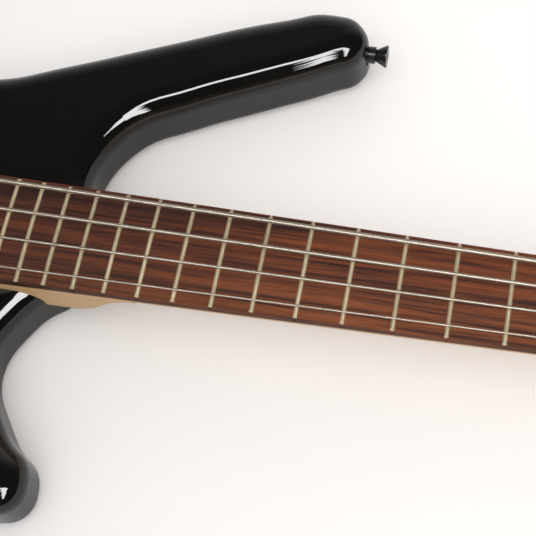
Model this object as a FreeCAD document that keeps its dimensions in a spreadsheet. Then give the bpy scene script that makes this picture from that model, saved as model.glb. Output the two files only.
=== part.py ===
"""Electric bass guitar, built as an assembly of its separate pieces.

Millimetres. The bass lies on its flat back with +Z up. X runs along the strings from the bridge
to the headstock and +Y is the bass side. The origin is on the back face, on the centre line,
under the saddle line, so fret n stands at scale_length / 2 ^ (n / 12).
"""
import FreeCAD, Part
import math
import os
import re
from types import SimpleNamespace

import Sketcher
from FreeCAD import Placement, Rotation, Vector

DIMENSIONS = {
    # Strings and their course
    "scale_length": 863.6,
    "nut_spacing": 9.8,
    "bridge_spacing": 19.0,
    "gauge_e": 2.6,
    "gauge_a": 2.1,
    "gauge_d": 1.6,
    "gauge_g": 1.1,
    "nut_action": 0.6,
    "twelfth_action": 2.6,
    "string_bend": 10.0,
    "string_lead": 9.0,
    "winding_turns": 2.25,
    "winding_gap": 0.5,
    "ball_radius": 3.1,
    "ball_length": 5.0,
    # Fingerboard
    "fret_count": 24,
    "board_nut_width": 39.9,
    "board_end_width": 62.6,
    "board_thick": 5.5,
    "board_radius": 508.0,
    "board_overhang": 9.0,
    # Frets
    "fret_width": 2.4,
    "fret_height": 1.1,
    "fret_inset": 0.7,
    "fret_bevel": 0.7,
    "tang_width": 0.6,
    "tang_depth": 2.2,
    "slot_spare": 0.4,
    # Side dots
    "dot_radius": 1.1,
    "dot_depth": 2.6,
    "dot_pair_spacing": 6.0,
    # Nut
    "nut_thick": 5.0,
    "nut_rise": 4.0,
    # Neck
    "neck_depth_nut": 16.3,
    "neck_depth_body": 18.8,
    "heel_depth": 23.1,
    "heel_overreach": 1.0,
    "heel_sweep": 42.0,
    "heel_lip": 3.0,
    # Headstock
    "head_angle": 5.0,
    "head_thick": 15.0,
    "head_length": 158.0,
    "head_width": 78.0,
    "head_edge_round": 2.0,
    # Truss rod
    "rod_radius": 2.2,
    "rod_start": 40.0,
    "rod_block": 10.0,
    "rod_thread": 8.0,
    "rod_nut_radius": 3.4,
    "rod_nut_length": 11.0,
    "rod_pocket_length": 26.0,
    "rod_cover_length": 38.0,
    "rod_cover_width": 20.0,
    "rod_cover_thick": 2.0,
    "rod_cover_round": 5.0,
    # Body
    "body_thick": 40.0,
    "pocket_depth": 16.0,
    "tail_reach": 76.0,
    "joint_length": 72.1,
    "bass_horn_reach": 137.0,
    "treble_horn_reach": 5.5,
    "bass_width": 171.8,
    "treble_width": 163.0,
    "top_round": 13.8,
    "back_round": 8.0,
    # Neck fastening
    "neck_screw_head": 4.4,
    "neck_screw_shank": 2.4,
    "neck_screw_length": 36.0,
    "neck_screw_spread": 38.0,
    "neck_screw_margin": 17.5,
    "ferrule_radius": 7.0,
    "ferrule_depth": 5.0,
    "ferrule_sink": 1.0,
    # Strap buttons
    "button_collar_radius": 4.95,
    "button_collar_length": 5.0,
    "button_waist_radius": 3.35,
    "button_flare_radius": 6.55,
    "button_flare_length": 6.0,
    "button_rim": 0.9,
    "button_seat_depth": 1.0,
    "button_screw_head": 3.4,
    "button_screw_shank": 1.9,
    "button_screw_length": 34.0,
    # Bridge
    "bridge_plate_thick": 2.2,
    "bridge_width": 82.0,
    "bridge_front": 18.0,
    "block_front": 30.0,
    "block_lip": 3.0,
    "block_back": 4.5,
    "block_height": 14.0,
    "anchor_height": 10.4,
    "bridge_screw_head": 3.4,
    "bridge_screw_shank": 1.7,
    "bridge_screw_length": 22.0,
    "bridge_screw_margin": 4.5,
    "bridge_round": 3.0,
    # Saddles
    "saddle_front": 4.0,
    "saddle_back": 12.0,
    "saddle_thread": 10.0,
    "saddle_width": 15.0,
    "saddle_lift": 0.4,
    "saddle_travel": 6.0,
    "saddle_round": 1.0,
    "height_screw_radius": 1.5,
    "height_screw_spread": 10.0,
    "intonation_height": 4.6,
    "intonation_shank": 1.3,
    "intonation_head": 2.5,
    "intonation_head_length": 2.2,
    # Pickups
    "pickup_length": 92.0,
    "pickup_width": 34.0,
    "pickup_height": 26.0,
    "pickup_rise": 13.0,
    "pickup_wall": 2.0,
    "pickup_round": 3.0,
    "pickup_lug": 12.0,
    "coil_round": 6.0,
    "foam_thick": 5.0,
    "neck_pickup_x": 140.0,
    "bridge_pickup_x": 60.0,
    "pickup_screw_head": 2.8,
    "pickup_screw_shank": 1.5,
    "pickup_screw_length": 40.0,
    # Control cavity in the back
    "cavity_x": 48.0,
    "control_inset": 61.0,
    "cavity_length": 100.0,
    "cavity_width": 48.0,
    "cavity_round": 10.0,
    "control_wall": 6.0,
    "cover_ledge": 9.0,
    "cover_thick": 2.5,
    # Controls
    "pot_spacing": 30.0,
    "pot_radius": 8.5,
    "pot_height": 10.0,
    "pot_bushing_radius": 3.4,
    "pot_bushing_rise": 5.0,
    "pot_shaft_radius": 3.0,
    "pot_shaft_rise": 13.0,
    "pot_shaft_sink": 6.0,
    "pot_nut_radius": 5.8,
    "pot_nut_thick": 2.2,
    "knob_radius": 9.5,
    "knob_height": 15.0,
    "knob_skirt": 6.6,
    "knob_crown": 1.6,
    "knob_mark_width": 1.2,
    "knob_mark_depth": 0.8,
    # Output jack
    "jack_sink": 2.4,
    "jack_flange_radius": 9.0,
    "jack_flange_thick": 2.0,
    "jack_barrel_radius": 6.0,
    "jack_barrel_length": 40.0,
    "jack_bore_radius": 3.25,
    "jack_bore_depth": 31.0,
    "jack_nut_radius": 8.6,
    "jack_nut_thick": 3.2,
    # Leads inside the body
    "lead_radius": 1.1,
    "channel_radius": 3.5,
    # Tuners, measured from the headstock face at the post axis
    "near_post_reach": 52.0,
    "far_post_reach": 106.0,
    "near_post_offset": 20.0,
    "far_post_offset": 17.0,
    "post_radius": 4.8,
    "post_waist_radius": 4.2,
    "post_waist_start": 2.6,
    "post_waist_end": 13.2,
    "post_height": 19.0,
    "post_slot_width": 2.9,
    "post_slot_depth": 5.2,
    "post_stub_radius": 3.2,
    "bushing_radius": 6.6,
    "bushing_flange_radius": 9.0,
    "bushing_flange_thick": 1.8,
    "tuner_plate_thick": 2.0,
    "tuner_plate_width": 29.0,
    "tuner_plate_round": 3.0,
    "wheel_teeth": 20,
    "worm_pitch": 2.2,
    "worm_radius": 3.0,
    "tooth_addendum": 0.6,
    "tooth_clearance": 0.2,
    "tooth_width": 0.8,
    "thread_width": 0.6,
    "tooth_slope": 0.18,
    "wheel_thick": 3.0,
    "worm_turns": 4.0,
    "worm_shaft_radius": 2.0,
    "lug_width": 3.0,
    "lug_length": 6.4,
    "lug_drop": 3.2,
    "key_stem_reach": 24.0,
    "key_collar_radius": 3.2,
    "key_collar_length": 3.0,
    "key_paddle_reach": 24.0,
    "key_paddle_height": 21.0,
    "key_paddle_thick": 5.0,
    "key_paddle_round": 1.6,
    # Small screws in the covers and the tuner plates
    "plate_screw_head": 2.4,
    "plate_screw_shank": 1.2,
    "plate_screw_length": 10.0,
    "plate_screw_margin": 3.2,
    # Clearances
    "play": 0.1,
    "running_play": 0.06,
    "clear_gap": 0.3,
    "overrun": 2.0,
    "socket_share": 0.52,
    "socket_depth_share": 0.8,
}

# Levels and places worked out from the driving sizes
PLACES = {
    "heel_z": "body_thick - pocket_depth",
    "board_z": "body_thick - pocket_depth + heel_depth",
    "board_top_z": "body_thick - pocket_depth + heel_depth + board_thick",
    "fret_top_z": "body_thick - pocket_depth + heel_depth + board_thick + fret_height",
    "board_end_x": "scale_length * 2 ^ (-fret_count / 12) - board_overhang",
    "nut_end_x": "scale_length + nut_thick",
    "heel_line": "scale_length * 2 ^ (-fret_count / 12) - board_overhang + joint_length",
    "heel_x": "scale_length * 2 ^ (-fret_count / 12) - board_overhang + joint_length + heel_overreach",
    "bridge_top_z": "body_thick + bridge_plate_thick",
    "block_x": "-block_front",
    "block_length": "block_lip + ball_length + block_back",
    "intonation_z": "body_thick + intonation_height",
    "pickup_floor_z": "body_thick + pickup_rise - pickup_height - foam_thick",
    "pickup_base_z": "body_thick + pickup_rise - pickup_height",
    "pickup_top_z": "body_thick + pickup_rise",
    "ceiling_z": "body_thick - control_wall",
    "jack_seat_y": "jack_sink - treble_width",
    "cavity_y": "control_inset - treble_width",
    "cavity_wall_y": "control_inset - treble_width - cavity_width / 2",
    "cover_length": "cavity_length + 2 * cover_ledge",
    "cover_width": "cavity_width + 2 * cover_ledge",
    "wheel_radius": "wheel_teeth * worm_pitch / (2 * pi)",
    "worm_offset": "wheel_teeth * worm_pitch / (2 * pi) + worm_radius",
    "plate_low": "-head_thick - tuner_plate_thick",
    "worm_w": "-head_thick - tuner_plate_thick - worm_radius - tooth_addendum - clear_gap",
    "lug_reach": "worm_turns * worm_pitch / 2 + thread_width + clear_gap",
    "button_length": "button_collar_length + button_flare_length + button_rim",
}

# Body outline, counter-clockwise from the tail. The first share runs along the named span, the
# second is of the bass width above the centre line and of the treble width below it.
outline_shares = [
    ("trunk", 0.000, 0.000),
    ("trunk", 0.051, -0.564),
    ("trunk", 0.192, -0.920),
    ("trunk", 0.349, -1.000),
    ("trunk", 0.524, -0.877),
    ("trunk", 0.710, -0.692),
    ("trunk", 0.850, -0.762),
    ("trunk", 0.944, -0.918),
    ("treble_horn", 0.748, -0.856),
    ("treble_horn", 0.845, -0.764),
    ("trunk", 0.963, -0.644),
    ("trunk", 0.911, -0.408),
    ("trunk", 0.945, -0.236),
    ("trunk", 1.003, -0.099),
    ("trunk", 1.000, 0.104),
    ("bass_horn", -0.020, 0.313),
    ("bass_horn", 0.083, 0.462),
    ("bass_horn", 0.332, 0.582),
    ("bass_horn", 0.586, 0.677),
    ("bass_horn", 0.855, 0.780),
    ("bass_horn", 0.970, 0.835),
    ("bass_horn", 0.998, 0.897),
    ("bass_horn", 0.944, 0.978),
    ("bass_horn", 0.813, 1.000),
    ("bass_horn", 0.601, 0.952),
    ("bass_horn", 0.101, 0.797),
    ("trunk", 0.902, 0.684),
    ("trunk", 0.788, 0.600),
    ("trunk", 0.721, 0.586),
    ("trunk", 0.580, 0.651),
    ("trunk", 0.425, 0.826),
    ("trunk", 0.270, 0.920),
    ("trunk", 0.124, 0.815),
    ("trunk", 0.028, 0.466),
]
# A rolled edge may take up this share of the tightest turn of the outline
round_share = 0.94

# One half of the headstock outline, as shares of its length and of half its width
head_outline_shares = [(0.17, 0.70), (0.31, 1.00), (0.56, 0.94), (0.80, 0.85), (0.95, 0.52)]

# Places across the centre line, as shares of the string or screw spacing
string_shares = {"e": 1.5, "a": 0.5, "d": -0.5, "g": -1.5}
front_screw_shares = (-1.5, 0.0, 1.5)
rear_screw_shares = (-1.0, 1.0)
control_shares = {"volume_neck": 1.0, "volume_bridge": 0.0, "tone": -1.0}

DOT_FRETS = (3, 5, 7, 9, 12, 15, 17, 19, 21, 24)
TONES = 12
HEXAGON = 6
QUARTERS = 4
# Headings this near to each other count as one straight run
FLAT_BOW = 1e-7
FLAT_SPREAD = 1e-9
# Points taken along one edge of a winding
EDGE_STEPS = 8

X_AXIS = Vector(1, 0, 0)
Y_AXIS = Vector(0, 1, 0)
Z_AXIS = Vector(0, 0, 1)
ORIGIN = Vector(0, 0, 0)

doc = FreeCAD.newDocument("bass_guitar")
kept = []


# Sheets

def formula(text):
    """Point each named size in a formula at its cell."""
    text = re.sub(r"\b(" + "|".join(PLACES) + r")\b", r"places.\1", text)
    return re.sub(r"(?<!\.)\b(" + "|".join(DIMENSIONS) + r")\b", r"dims.\1", text)


def make_sheet(label, cells):
    sheet = doc.addObject("Spreadsheet::Sheet", label)
    for row, (name, content) in enumerate(cells.items(), start=1):
        sheet.set(f"A{row}", name)
        sheet.set(f"B{row}", content)
        sheet.setAlias(f"B{row}", name)
    doc.recompute()
    return {name: float(sheet.get(name)) for name in cells}


sizes = make_sheet("dims", {name: str(number) for name, number in DIMENSIONS.items()})
sizes.update(make_sheet("places", {name: "=" + formula(text) for name, text in PLACES.items()}))
v = SimpleNamespace(**sizes)


# Making pieces

def bind(item, **formulas):
    for name, text in formulas.items():
        item.setExpression(name.replace("_at_", "."), formula(text))


def keep(item):
    kept.append(item)
    return item


def solid_piece(label, shape, place=None):
    """Piece whose shape is worked out from the sheet, standing at its place."""
    piece = doc.addObject("Part::Feature", label)
    piece.Shape = shape
    piece.Placement = (place or Placement()).multiply(shape.Placement)
    return keep(piece)


def outline_sketch(body, role, corners):
    """Closed straight-sided outline. Each corner is a pair of formulas in the sketch plane."""
    sketch = body.newObject("Sketcher::SketchObject", body.Label + "_outline")
    plane = next(item for item in body.Origin.OriginFeatures if item.Role == role)
    sketch.AttachmentSupport = (plane, "")
    sketch.MapMode = "FlatFace"
    count = len(corners)
    turn = 2 * math.pi / count
    starts = [Vector(math.cos(turn * index), math.sin(turn * index), 0) for index in range(count)]
    for index, start in enumerate(starts):
        sketch.addGeometry(Part.LineSegment(start, starts[(index + 1) % count]))
    for index in range(count):
        sketch.addConstraint(Sketcher.Constraint("Coincident", index, 2, (index + 1) % count, 1))
    for index, (across, along) in enumerate(corners):
        begin = starts[index]
        for kind, value, text in (("DistanceX", begin.x, across), ("DistanceY", begin.y, along)):
            number = sketch.addConstraint(Sketcher.Constraint(kind, -1, 1, index, 1, value))
            sketch.setExpression(f"Constraints[{number}]", formula(text))
    return sketch


def turned(label, corners):
    """Piece turned about its own Z axis. Corners are (radius, height) formulas."""
    body = doc.addObject("PartDesign::Body", label)
    sketch = outline_sketch(body, "XZ_Plane", corners)
    turn = body.newObject("PartDesign::Revolution", label + "_turn")
    turn.Profile = sketch
    turn.ReferenceAxis = (sketch, ["V_Axis"])
    turn.Angle = 360
    return body


def padded_plate(label, corners, thick):
    """Flat piece standing on its own XY plane."""
    body = doc.addObject("PartDesign::Body", label)
    sketch = outline_sketch(body, "XY_Plane", corners)
    pad = body.newObject("PartDesign::Pad", label + "_pad")
    pad.Profile = sketch
    bind(pad, Length=thick)
    return body


def pocketed(body, corners, depth):
    """Pocket from the piece's own XY plane downwards."""
    sketch = outline_sketch(body, "XY_Plane", corners)
    pocket = body.newObject("PartDesign::Pocket", body.Label + "_pocket")
    pocket.Profile = sketch
    bind(pocket, Length=depth)
    return body


def rounded(body, radius, chosen):
    """Fillet the chosen edges of the piece's last feature."""
    doc.recompute()
    base = body.Tip
    names = [f"Edge{number}" for number, edge in enumerate(base.Shape.Edges, start=1) if chosen(edge)]
    fillet = body.newObject("PartDesign::Fillet", body.Label + "_round")
    fillet.Base = (base, names)
    bind(fillet, Radius=radius)
    return body


def upright(edge):
    """Whether an edge runs along Z."""
    first, last = edge.Vertexes[0].Point, edge.Vertexes[-1].Point
    return (last - first).Length > 0 and abs((last - first).normalize().z) > math.cos(math.pi / 180)


def rectangle(length, width):
    """Corners of a rectangle centred on the piece's own origin."""
    return [
        (f"-({length}) / 2", f"-({width}) / 2"),
        (f"({length}) / 2", f"-({width}) / 2"),
        (f"({length}) / 2", f"({width}) / 2"),
        (f"-({length}) / 2", f"({width}) / 2"),
    ]


def hexagon(radius):
    angles = [2 * math.pi * side / HEXAGON for side in range(HEXAGON)]
    return [(f"{math.cos(angle):.9f} * {radius}", f"{math.sin(angle):.9f} * {radius}") for angle in angles]


def screw(kind):
    """Countersunk screw with a hexagon socket, its head level with its own origin and its tip below."""
    head, shank, length = f"{kind}_head", f"{kind}_shank", f"{kind}_length"
    body = turned(kind, [
        ("0", "0"),
        (head, "0"),
        (shank, f"{shank} - {head}"),
        (shank, f"{shank} - {length}"),
        ("0", f"-{length}"),
    ])
    return pocketed(body, hexagon(f"socket_share * {head}"), f"socket_depth_share * ({head} - {shank})")


def screws(label, kind, places):
    """Group of identical screws. Gives the room that they fill, for the holes."""
    copies(label, screw(kind), places)
    blank = doc.getObject(f"{kind}_turn").Shape
    return Part.makeCompound([placed(blank, place) for place in places])


def placed(shape, place):
    moved = shape.copy()
    moved.Placement = place.multiply(moved.Placement)
    return moved


def copies(label, master, places):
    """Group of identical pieces, one at each place."""
    doc.recompute()
    return solid_piece(label, Part.makeCompound([placed(master.Shape, place) for place in places]))


def at(x, y, z, up=Z_AXIS):
    """Place whose own Z axis points up."""
    return Placement(Vector(x, y, z), Rotation(Z_AXIS, up))


# Straight runs, arcs and boxes

def arc_from(start, heading, end):
    """Arc that leaves start along heading and reaches end, or a line where it would be flat."""
    chord = end - start
    ahead = Vector(chord).normalize()
    aside = heading - ahead * heading.dot(ahead)
    if aside.Length < FLAT_BOW:
        return Part.LineSegment(start, end).toShape()
    bow = math.acos(max(-1.0, min(1.0, heading.dot(ahead))))
    middle = start + chord * 0.5 + aside.normalize() * (chord.Length / 2 * math.tan(bow / 2))
    return Part.Arc(start, middle, end).toShape()


def biarc(start, start_heading, end, end_heading):
    """Two arcs, tangent to each other and to both headings."""
    chord = end - start
    both = start_heading + end_heading
    spread = 2 * (1 - start_heading.dot(end_heading))
    if spread < FLAT_SPREAD:
        reach = chord.dot(chord) / (2 * chord.dot(both))
    else:
        reach = (math.sqrt(chord.dot(both) ** 2 + spread * chord.dot(chord)) - chord.dot(both)) / spread
    first = start + start_heading * reach
    second = end - end_heading * reach
    joint = (first + second) * 0.5
    return [arc_from(start, start_heading, joint), arc_from(joint, (second - first).normalize(), end)]


def headings_through(points, closed):
    """Heading at each point of the circle through it and its two neighbours."""
    headings = []
    for index, point in enumerate(points):
        before = point - points[index - 1]
        after = points[(index + 1) % len(points)] - point
        heading = before * (1 / before.dot(before)) + after * (1 / after.dot(after))
        headings.append(heading.normalize())
    return headings if closed else headings[1:-1]


def smooth_edges(points, headings):
    """Biarcs from each point to the next."""
    edges = []
    for index in range(len(points) - 1):
        edges += biarc(points[index], headings[index], points[index + 1], headings[index + 1])
    return edges


def bend(before, corner, after, radius):
    """Arc that rounds the corner of a route, with the points where it starts and ends."""
    inward = (corner - before).normalize()
    outward = (after - corner).normalize()
    reach = radius * math.tan(inward.getAngle(outward) / 2)
    start = corner - inward * reach
    end = corner + outward * reach
    return start, arc_from(start, inward, end), end


def line(start, end):
    return Part.LineSegment(start, end).toShape()


def tube(edges, radius):
    """Round wire along a route of tangent edges."""
    route = Part.Wire(edges)
    first = edges[0]
    start = first.valueAt(first.FirstParameter)
    ring = Part.Wire([Part.makeCircle(radius, start, first.tangentAt(first.FirstParameter))])
    return route.makePipeShell([ring], True, False)


def bore(base, direction, radius, depth):
    return Part.makeCylinder(radius, depth, base, direction)


def box(low, high):
    return Part.makeBox(high.x - low.x, high.y - low.y, high.z - low.z, low)


def rounded_box(low, high, radius):
    block = box(low, high)
    return block.makeFillet(radius, [edge for edge in block.Edges if upright(edge)])


def prism(corners, travel):
    """Straight-sided block from its corners, swept along travel."""
    return Part.Face(Part.makePolygon(corners + corners[:1])).extrude(travel)


def hex_bar(radius, low, high, centre=ORIGIN):
    """Upright bar of hexagon section."""
    angles = [2 * math.pi * side / HEXAGON for side in range(HEXAGON)]
    corners = [centre + Vector(radius * math.cos(angle), radius * math.sin(angle), low) for angle in angles]
    return prism(corners, Z_AXIS * (high - low))


# The neck and the board share one taper and one camber

def fret_x(number):
    return v.scale_length * 2 ** (-number / TONES)


def half_width(x):
    taper = (v.board_end_width - v.board_nut_width) / (v.scale_length - v.board_end_x)
    return (v.board_nut_width + taper * (v.scale_length - x)) / 2


def camber_drop(y):
    """How far the cambered board lies below its crown, at this distance from the centre line."""
    return v.board_radius - math.sqrt(v.board_radius ** 2 - y ** 2)


def taper_block(start_x, end_x, low_z, high_z, spare):
    """Block that follows the board's taper, wider by spare on each side."""
    corners = [
        Vector(start_x, -half_width(start_x) - spare, low_z),
        Vector(end_x, -half_width(end_x) - spare, low_z),
        Vector(end_x, half_width(end_x) + spare, low_z),
        Vector(start_x, half_width(start_x) + spare, low_z),
    ]
    return prism(corners, Z_AXIS * (high_z - low_z))


def camber_cylinder(rise):
    """Cylinder whose top is the board's camber, lifted by rise."""
    length = v.nut_end_x - v.board_end_x + 2 * v.overrun
    low = Vector(v.board_end_x - v.overrun, 0, v.board_top_z - v.board_radius)
    return bore(low, X_AXIS, v.board_radius + rise, length)


def camber_bar(corners, crown):
    """Bar across the board that follows its camber, from a section in the XZ plane."""
    edges = [line(corners[index], corners[index + 1]) for index in range(len(corners) - 1)]
    edges.append(crown)
    half = v.board_end_width / 2 + v.overrun
    swing = math.degrees(math.asin(half / v.board_radius))
    axis_point = Vector(0, 0, v.board_top_z - v.board_radius)
    section = Part.Face(Part.Wire(edges))
    section.rotate(axis_point, X_AXIS, -swing)
    return section.revolve(axis_point, X_AXIS, 2 * swing)


def fret_bar():
    """Fret across the whole board: a tang with an arched crown over it, centred on X zero."""
    top = v.board_top_z
    tang = v.tang_width / 2
    crown = v.fret_width / 2
    corners = [
        Vector(crown, 0, top),
        Vector(tang, 0, top),
        Vector(tang, 0, top - v.tang_depth),
        Vector(-tang, 0, top - v.tang_depth),
        Vector(-tang, 0, top),
        Vector(-crown, 0, top),
    ]
    arch = Part.Arc(corners[-1], Vector(0, 0, top + v.fret_height), corners[0]).toShape()
    return camber_bar(corners, arch)


def slot_bar(depth):
    """Room for a tang, open above the board, centred on X zero."""
    side = v.tang_width / 2
    low = v.board_top_z - depth
    high = v.board_top_z + v.overrun
    corners = [
        Vector(side, 0, high),
        Vector(side, 0, low),
        Vector(-side, 0, low),
        Vector(-side, 0, high),
    ]
    return camber_bar(corners, line(corners[-1], corners[0]))


def make_frets():
    bar = fret_bar()
    frets = []
    for number in range(1, int(v.fret_count) + 1):
        x = fret_x(number)
        foot = half_width(x) - v.fret_inset
        reach = v.fret_width
        low = v.board_z
        high = v.fret_top_z + v.overrun
        edge = v.board_top_z - camber_drop(foot)
        lean = v.fret_bevel * (high - edge)
        corners = [
            Vector(-reach, -foot, low),
            Vector(-reach, foot, low),
            Vector(-reach, foot, edge),
            Vector(-reach, foot - lean, high),
            Vector(-reach, lean - foot, high),
            Vector(-reach, -foot, edge),
        ]
        fret = bar.common(prism(corners, X_AXIS * (2 * reach)))
        fret.translate(X_AXIS * x)
        frets.append(fret)
    return solid_piece("frets", Part.makeCompound(frets))


def dot_holes():
    dots = []
    for number in DOT_FRETS:
        middle = (fret_x(number) + fret_x(number - 1)) / 2
        offsets = (-0.5, 0.5) if number % TONES == 0 else (0.0,)
        for offset in offsets:
            x = middle + offset * v.dot_pair_spacing
            outside = half_width(x + v.dot_radius)
            base = Vector(x, outside - v.dot_depth, (v.board_z + v.board_top_z) / 2)
            dots.append(bore(base, Y_AXIS, v.dot_radius, v.dot_depth))
    return dots


def make_fingerboard(dots):
    board = taper_block(v.board_end_x, v.scale_length, v.board_z, v.board_top_z, 0)
    board = board.common(camber_cylinder(0))
    slot = slot_bar(v.tang_depth + v.slot_spare)
    slots = []
    for number in range(1, int(v.fret_count) + 1):
        cut = slot.copy()
        cut.translate(X_AXIS * fret_x(number))
        slots.append(cut)
    return solid_piece("fingerboard", board.cut(slots + dots))


# Headstock frame: its own X runs to the tip, its own Z stands on the face

head_place = Placement(Vector(v.nut_end_x, 0, v.board_z), Rotation(Y_AXIS, v.head_angle))
TUNERS = {
    "e": (v.near_post_reach, v.near_post_offset, 1),
    "a": (v.far_post_reach, v.far_post_offset, 1),
    "d": (v.far_post_reach, v.far_post_offset, -1),
    "g": (v.near_post_reach, v.near_post_offset, -1),
}


def tuner_place(name):
    reach, offset, side = TUNERS[name]
    return head_place.multiply(Placement(Vector(reach, side * offset, 0), Rotation()))


# Strings

def string_corners(name):
    """Where a string passes the ball, the saddle line and the nut."""
    share = string_shares[name]
    radius = getattr(v, f"gauge_{name}") / 2
    saddle_y = share * v.bridge_spacing
    nut_y = share * v.nut_spacing
    saddle_z = v.fret_top_z + 2 * v.twelfth_action - v.nut_action - camber_drop(saddle_y) + radius
    nut_z = v.fret_top_z + v.nut_action - camber_drop(nut_y) + radius
    saddle = Vector(0, saddle_y, saddle_z)
    nut_front = Vector(v.scale_length, nut_y, nut_z)
    over_nut = saddle + (nut_front - saddle) * ((v.scale_length + v.nut_thick / 2) / v.scale_length)
    ball = Vector(v.block_x - v.block_lip - v.ball_length / 2, saddle_y, v.body_thick + v.anchor_height)
    return ball, saddle, over_nut


def winding(name, over_nut):
    """Points and headings of the turns on the post, the first where the string meets it."""
    reach, offset, side = TUNERS[name]
    gauge = getattr(v, f"gauge_{name}")
    start = head_place.inverse().multVec(over_nut)
    radius = v.post_waist_radius + v.clear_gap + gauge / 2
    toward = Vector(reach - start.x, side * offset - start.y, 0)
    heading = math.atan2(toward.y, toward.x) - side * math.asin(radius / toward.Length)
    angle = heading - side * math.pi / 2
    pitch = gauge + v.winding_gap
    first_height = v.post_waist_start + v.winding_gap + gauge / 2
    steps = round(v.winding_turns * QUARTERS)
    points = []
    headings = []
    for step in range(steps + 1):
        turn = 2 * math.pi * step / QUARTERS
        around = angle + side * turn
        height = first_height + pitch * step / QUARTERS
        centre = Vector(reach, side * offset, height)
        points.append(head_place.multVec(centre + Vector(math.cos(around), math.sin(around), 0) * radius))
        slope = pitch / (2 * math.pi * radius)
        along = Vector(-side * math.sin(around), side * math.cos(around), slope).normalize()
        headings.append(head_place.Rotation.multVec(along))
    return points, headings


def string_route(name):
    ball, saddle, over_nut = string_corners(name)
    points, headings = winding(name, over_nut)
    inbound = (points[0] - over_nut).normalize()
    lead = points[0] - inbound * v.string_lead
    saddle_start, saddle_arc, saddle_end = bend(ball, saddle, over_nut, v.string_bend)
    nut_start, nut_arc, nut_end = bend(saddle, over_nut, lead, v.string_bend)
    edges = [line(ball, saddle_start), saddle_arc, line(saddle_end, nut_start), nut_arc, line(nut_end, lead)]
    edges += biarc(lead, inbound, points[0], headings[0])
    return edges + smooth_edges(points, headings)


def winding_gap(name, edges):
    """Least gap between neighbouring turns, measured on points along the winding."""
    gauge = getattr(v, f"gauge_{name}")
    turns = edges[-2 * round(v.winding_turns * QUARTERS):]
    points = [point for edge in turns for point in edge.discretize(EDGE_STEPS + 1)[:-1]]
    per_turn = 2 * QUARTERS * EDGE_STEPS
    return min(
        (points[index] - points[other]).Length - gauge
        for index in range(len(points))
        for other in range(index + per_turn // 2, len(points))
    )


def make_strings():
    for name in string_shares:
        edges = string_route(name)
        gauge = getattr(v, f"gauge_{name}")
        wire = tube(edges, gauge / 2)
        length = sum(edge.Length for edge in edges)
        share = wire.Volume / (math.pi * gauge ** 2 / 4 * length)
        gap = winding_gap(name, edges)
        print(f"string {name}: {length:.1f} mm, volume share {share:.4f}, gap {gap:.2f} mm")
        ball = string_corners(name)[0]
        knob = bore(ball - X_AXIS * (v.ball_length / 2), X_AXIS, v.ball_radius, v.ball_length)
        solid_piece(f"string_{name}", wire.fuse(knob).removeSplitter())


def make_nut():
    block = box(
        Vector(v.scale_length, -v.board_nut_width / 2, v.board_z),
        Vector(v.nut_end_x, v.board_nut_width / 2, v.board_top_z + v.nut_rise),
    )
    block = block.common(camber_cylinder(v.nut_rise))
    slots = []
    for name in string_shares:
        saddle, over_nut = string_corners(name)[1:]
        onward = winding(name, over_nut)[0][0]
        reach = v.nut_thick + v.overrun
        before = over_nut + (saddle - over_nut).normalize() * reach
        after = over_nut + (onward - over_nut).normalize() * reach
        start, arc, end = bend(before, over_nut, after, v.string_bend)
        radius = getattr(v, f"gauge_{name}") / 2 + v.play
        slots.append(tube([line(before, start), arc, line(end, after)], radius))
        slots.append(box(
            Vector(v.scale_length - v.overrun, over_nut.y - radius, over_nut.z),
            Vector(v.nut_end_x + v.overrun, over_nut.y + radius, v.board_top_z + v.nut_rise + v.overrun),
        ))
    return solid_piece("nut", block.cut(slots))


# Neck

def shaft_section(x, depth):
    """Half-oval section of the neck under the board."""
    centre = Vector(x, 0, v.board_z)
    side = Vector(0, half_width(x) - v.play, 0)
    oval = Part.Ellipse(centre + side, centre - Z_AXIS * depth, centre)
    return Part.Wire([oval.toShape(0, math.pi), line(centre - side, centre + side)])


def heel_block():
    low_end = Vector(v.heel_x, 0, v.heel_z)
    lip = Vector(v.heel_x + v.heel_sweep, 0, v.board_z - v.heel_lip)
    sweep = biarc(low_end, X_AXIS, lip, X_AXIS)
    low_start = Vector(v.board_end_x, 0, v.heel_z)
    high_start = Vector(v.board_end_x, 0, v.board_z)
    high_end = Vector(lip.x, 0, v.board_z)
    edges = [line(low_start, low_end)] + sweep
    edges += [line(lip, high_end), line(high_end, high_start), line(high_start, low_start)]
    profile = Part.Face(Part.Wire(edges))
    profile.translate(-Y_AXIS * v.board_end_width)
    block = profile.extrude(Y_AXIS * (2 * v.board_end_width))
    return block.common(taper_block(v.board_end_x, v.heel_x + v.heel_sweep, v.heel_z, v.board_z, 0))


def headstock_plate():
    root = half_width(v.nut_end_x)
    half = [Vector(0, root, 0)]
    for along, across in head_outline_shares:
        half.append(Vector(along * v.head_length, across * v.head_width / 2, 0))
    tip = Vector(v.head_length, 0, 0)
    points = half + [tip] + [Vector(point.x, -point.y, 0) for point in reversed(half)]
    headings = [X_AXIS] + headings_through(points, False) + [-X_AXIS]
    outline = Part.Wire(smooth_edges(points, headings) + [line(points[-1], points[0])])
    plate = Part.Face(outline).extrude(-Z_AXIS * v.head_thick)
    rim = [edge for edge in plate.Edges if not upright(edge) and edge.CenterOfMass.x > v.head_edge_round]
    return placed(plate.makeFillet(v.head_edge_round, rim), head_place)


def rod_axis_z():
    """Height of the lower bar of the truss rod."""
    return v.board_z - v.play - 3 * v.rod_radius - v.play


def rod_end_x():
    return v.nut_end_x + v.play


def rod_pocket():
    """Room for the truss rod nut, open to the headstock face."""
    half = v.rod_nut_radius + v.clear_gap + v.play
    low = Vector(v.nut_end_x, -half, rod_axis_z() - half)
    return box(low, Vector(v.nut_end_x + v.rod_pocket_length, half, v.board_z + v.overrun))


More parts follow.
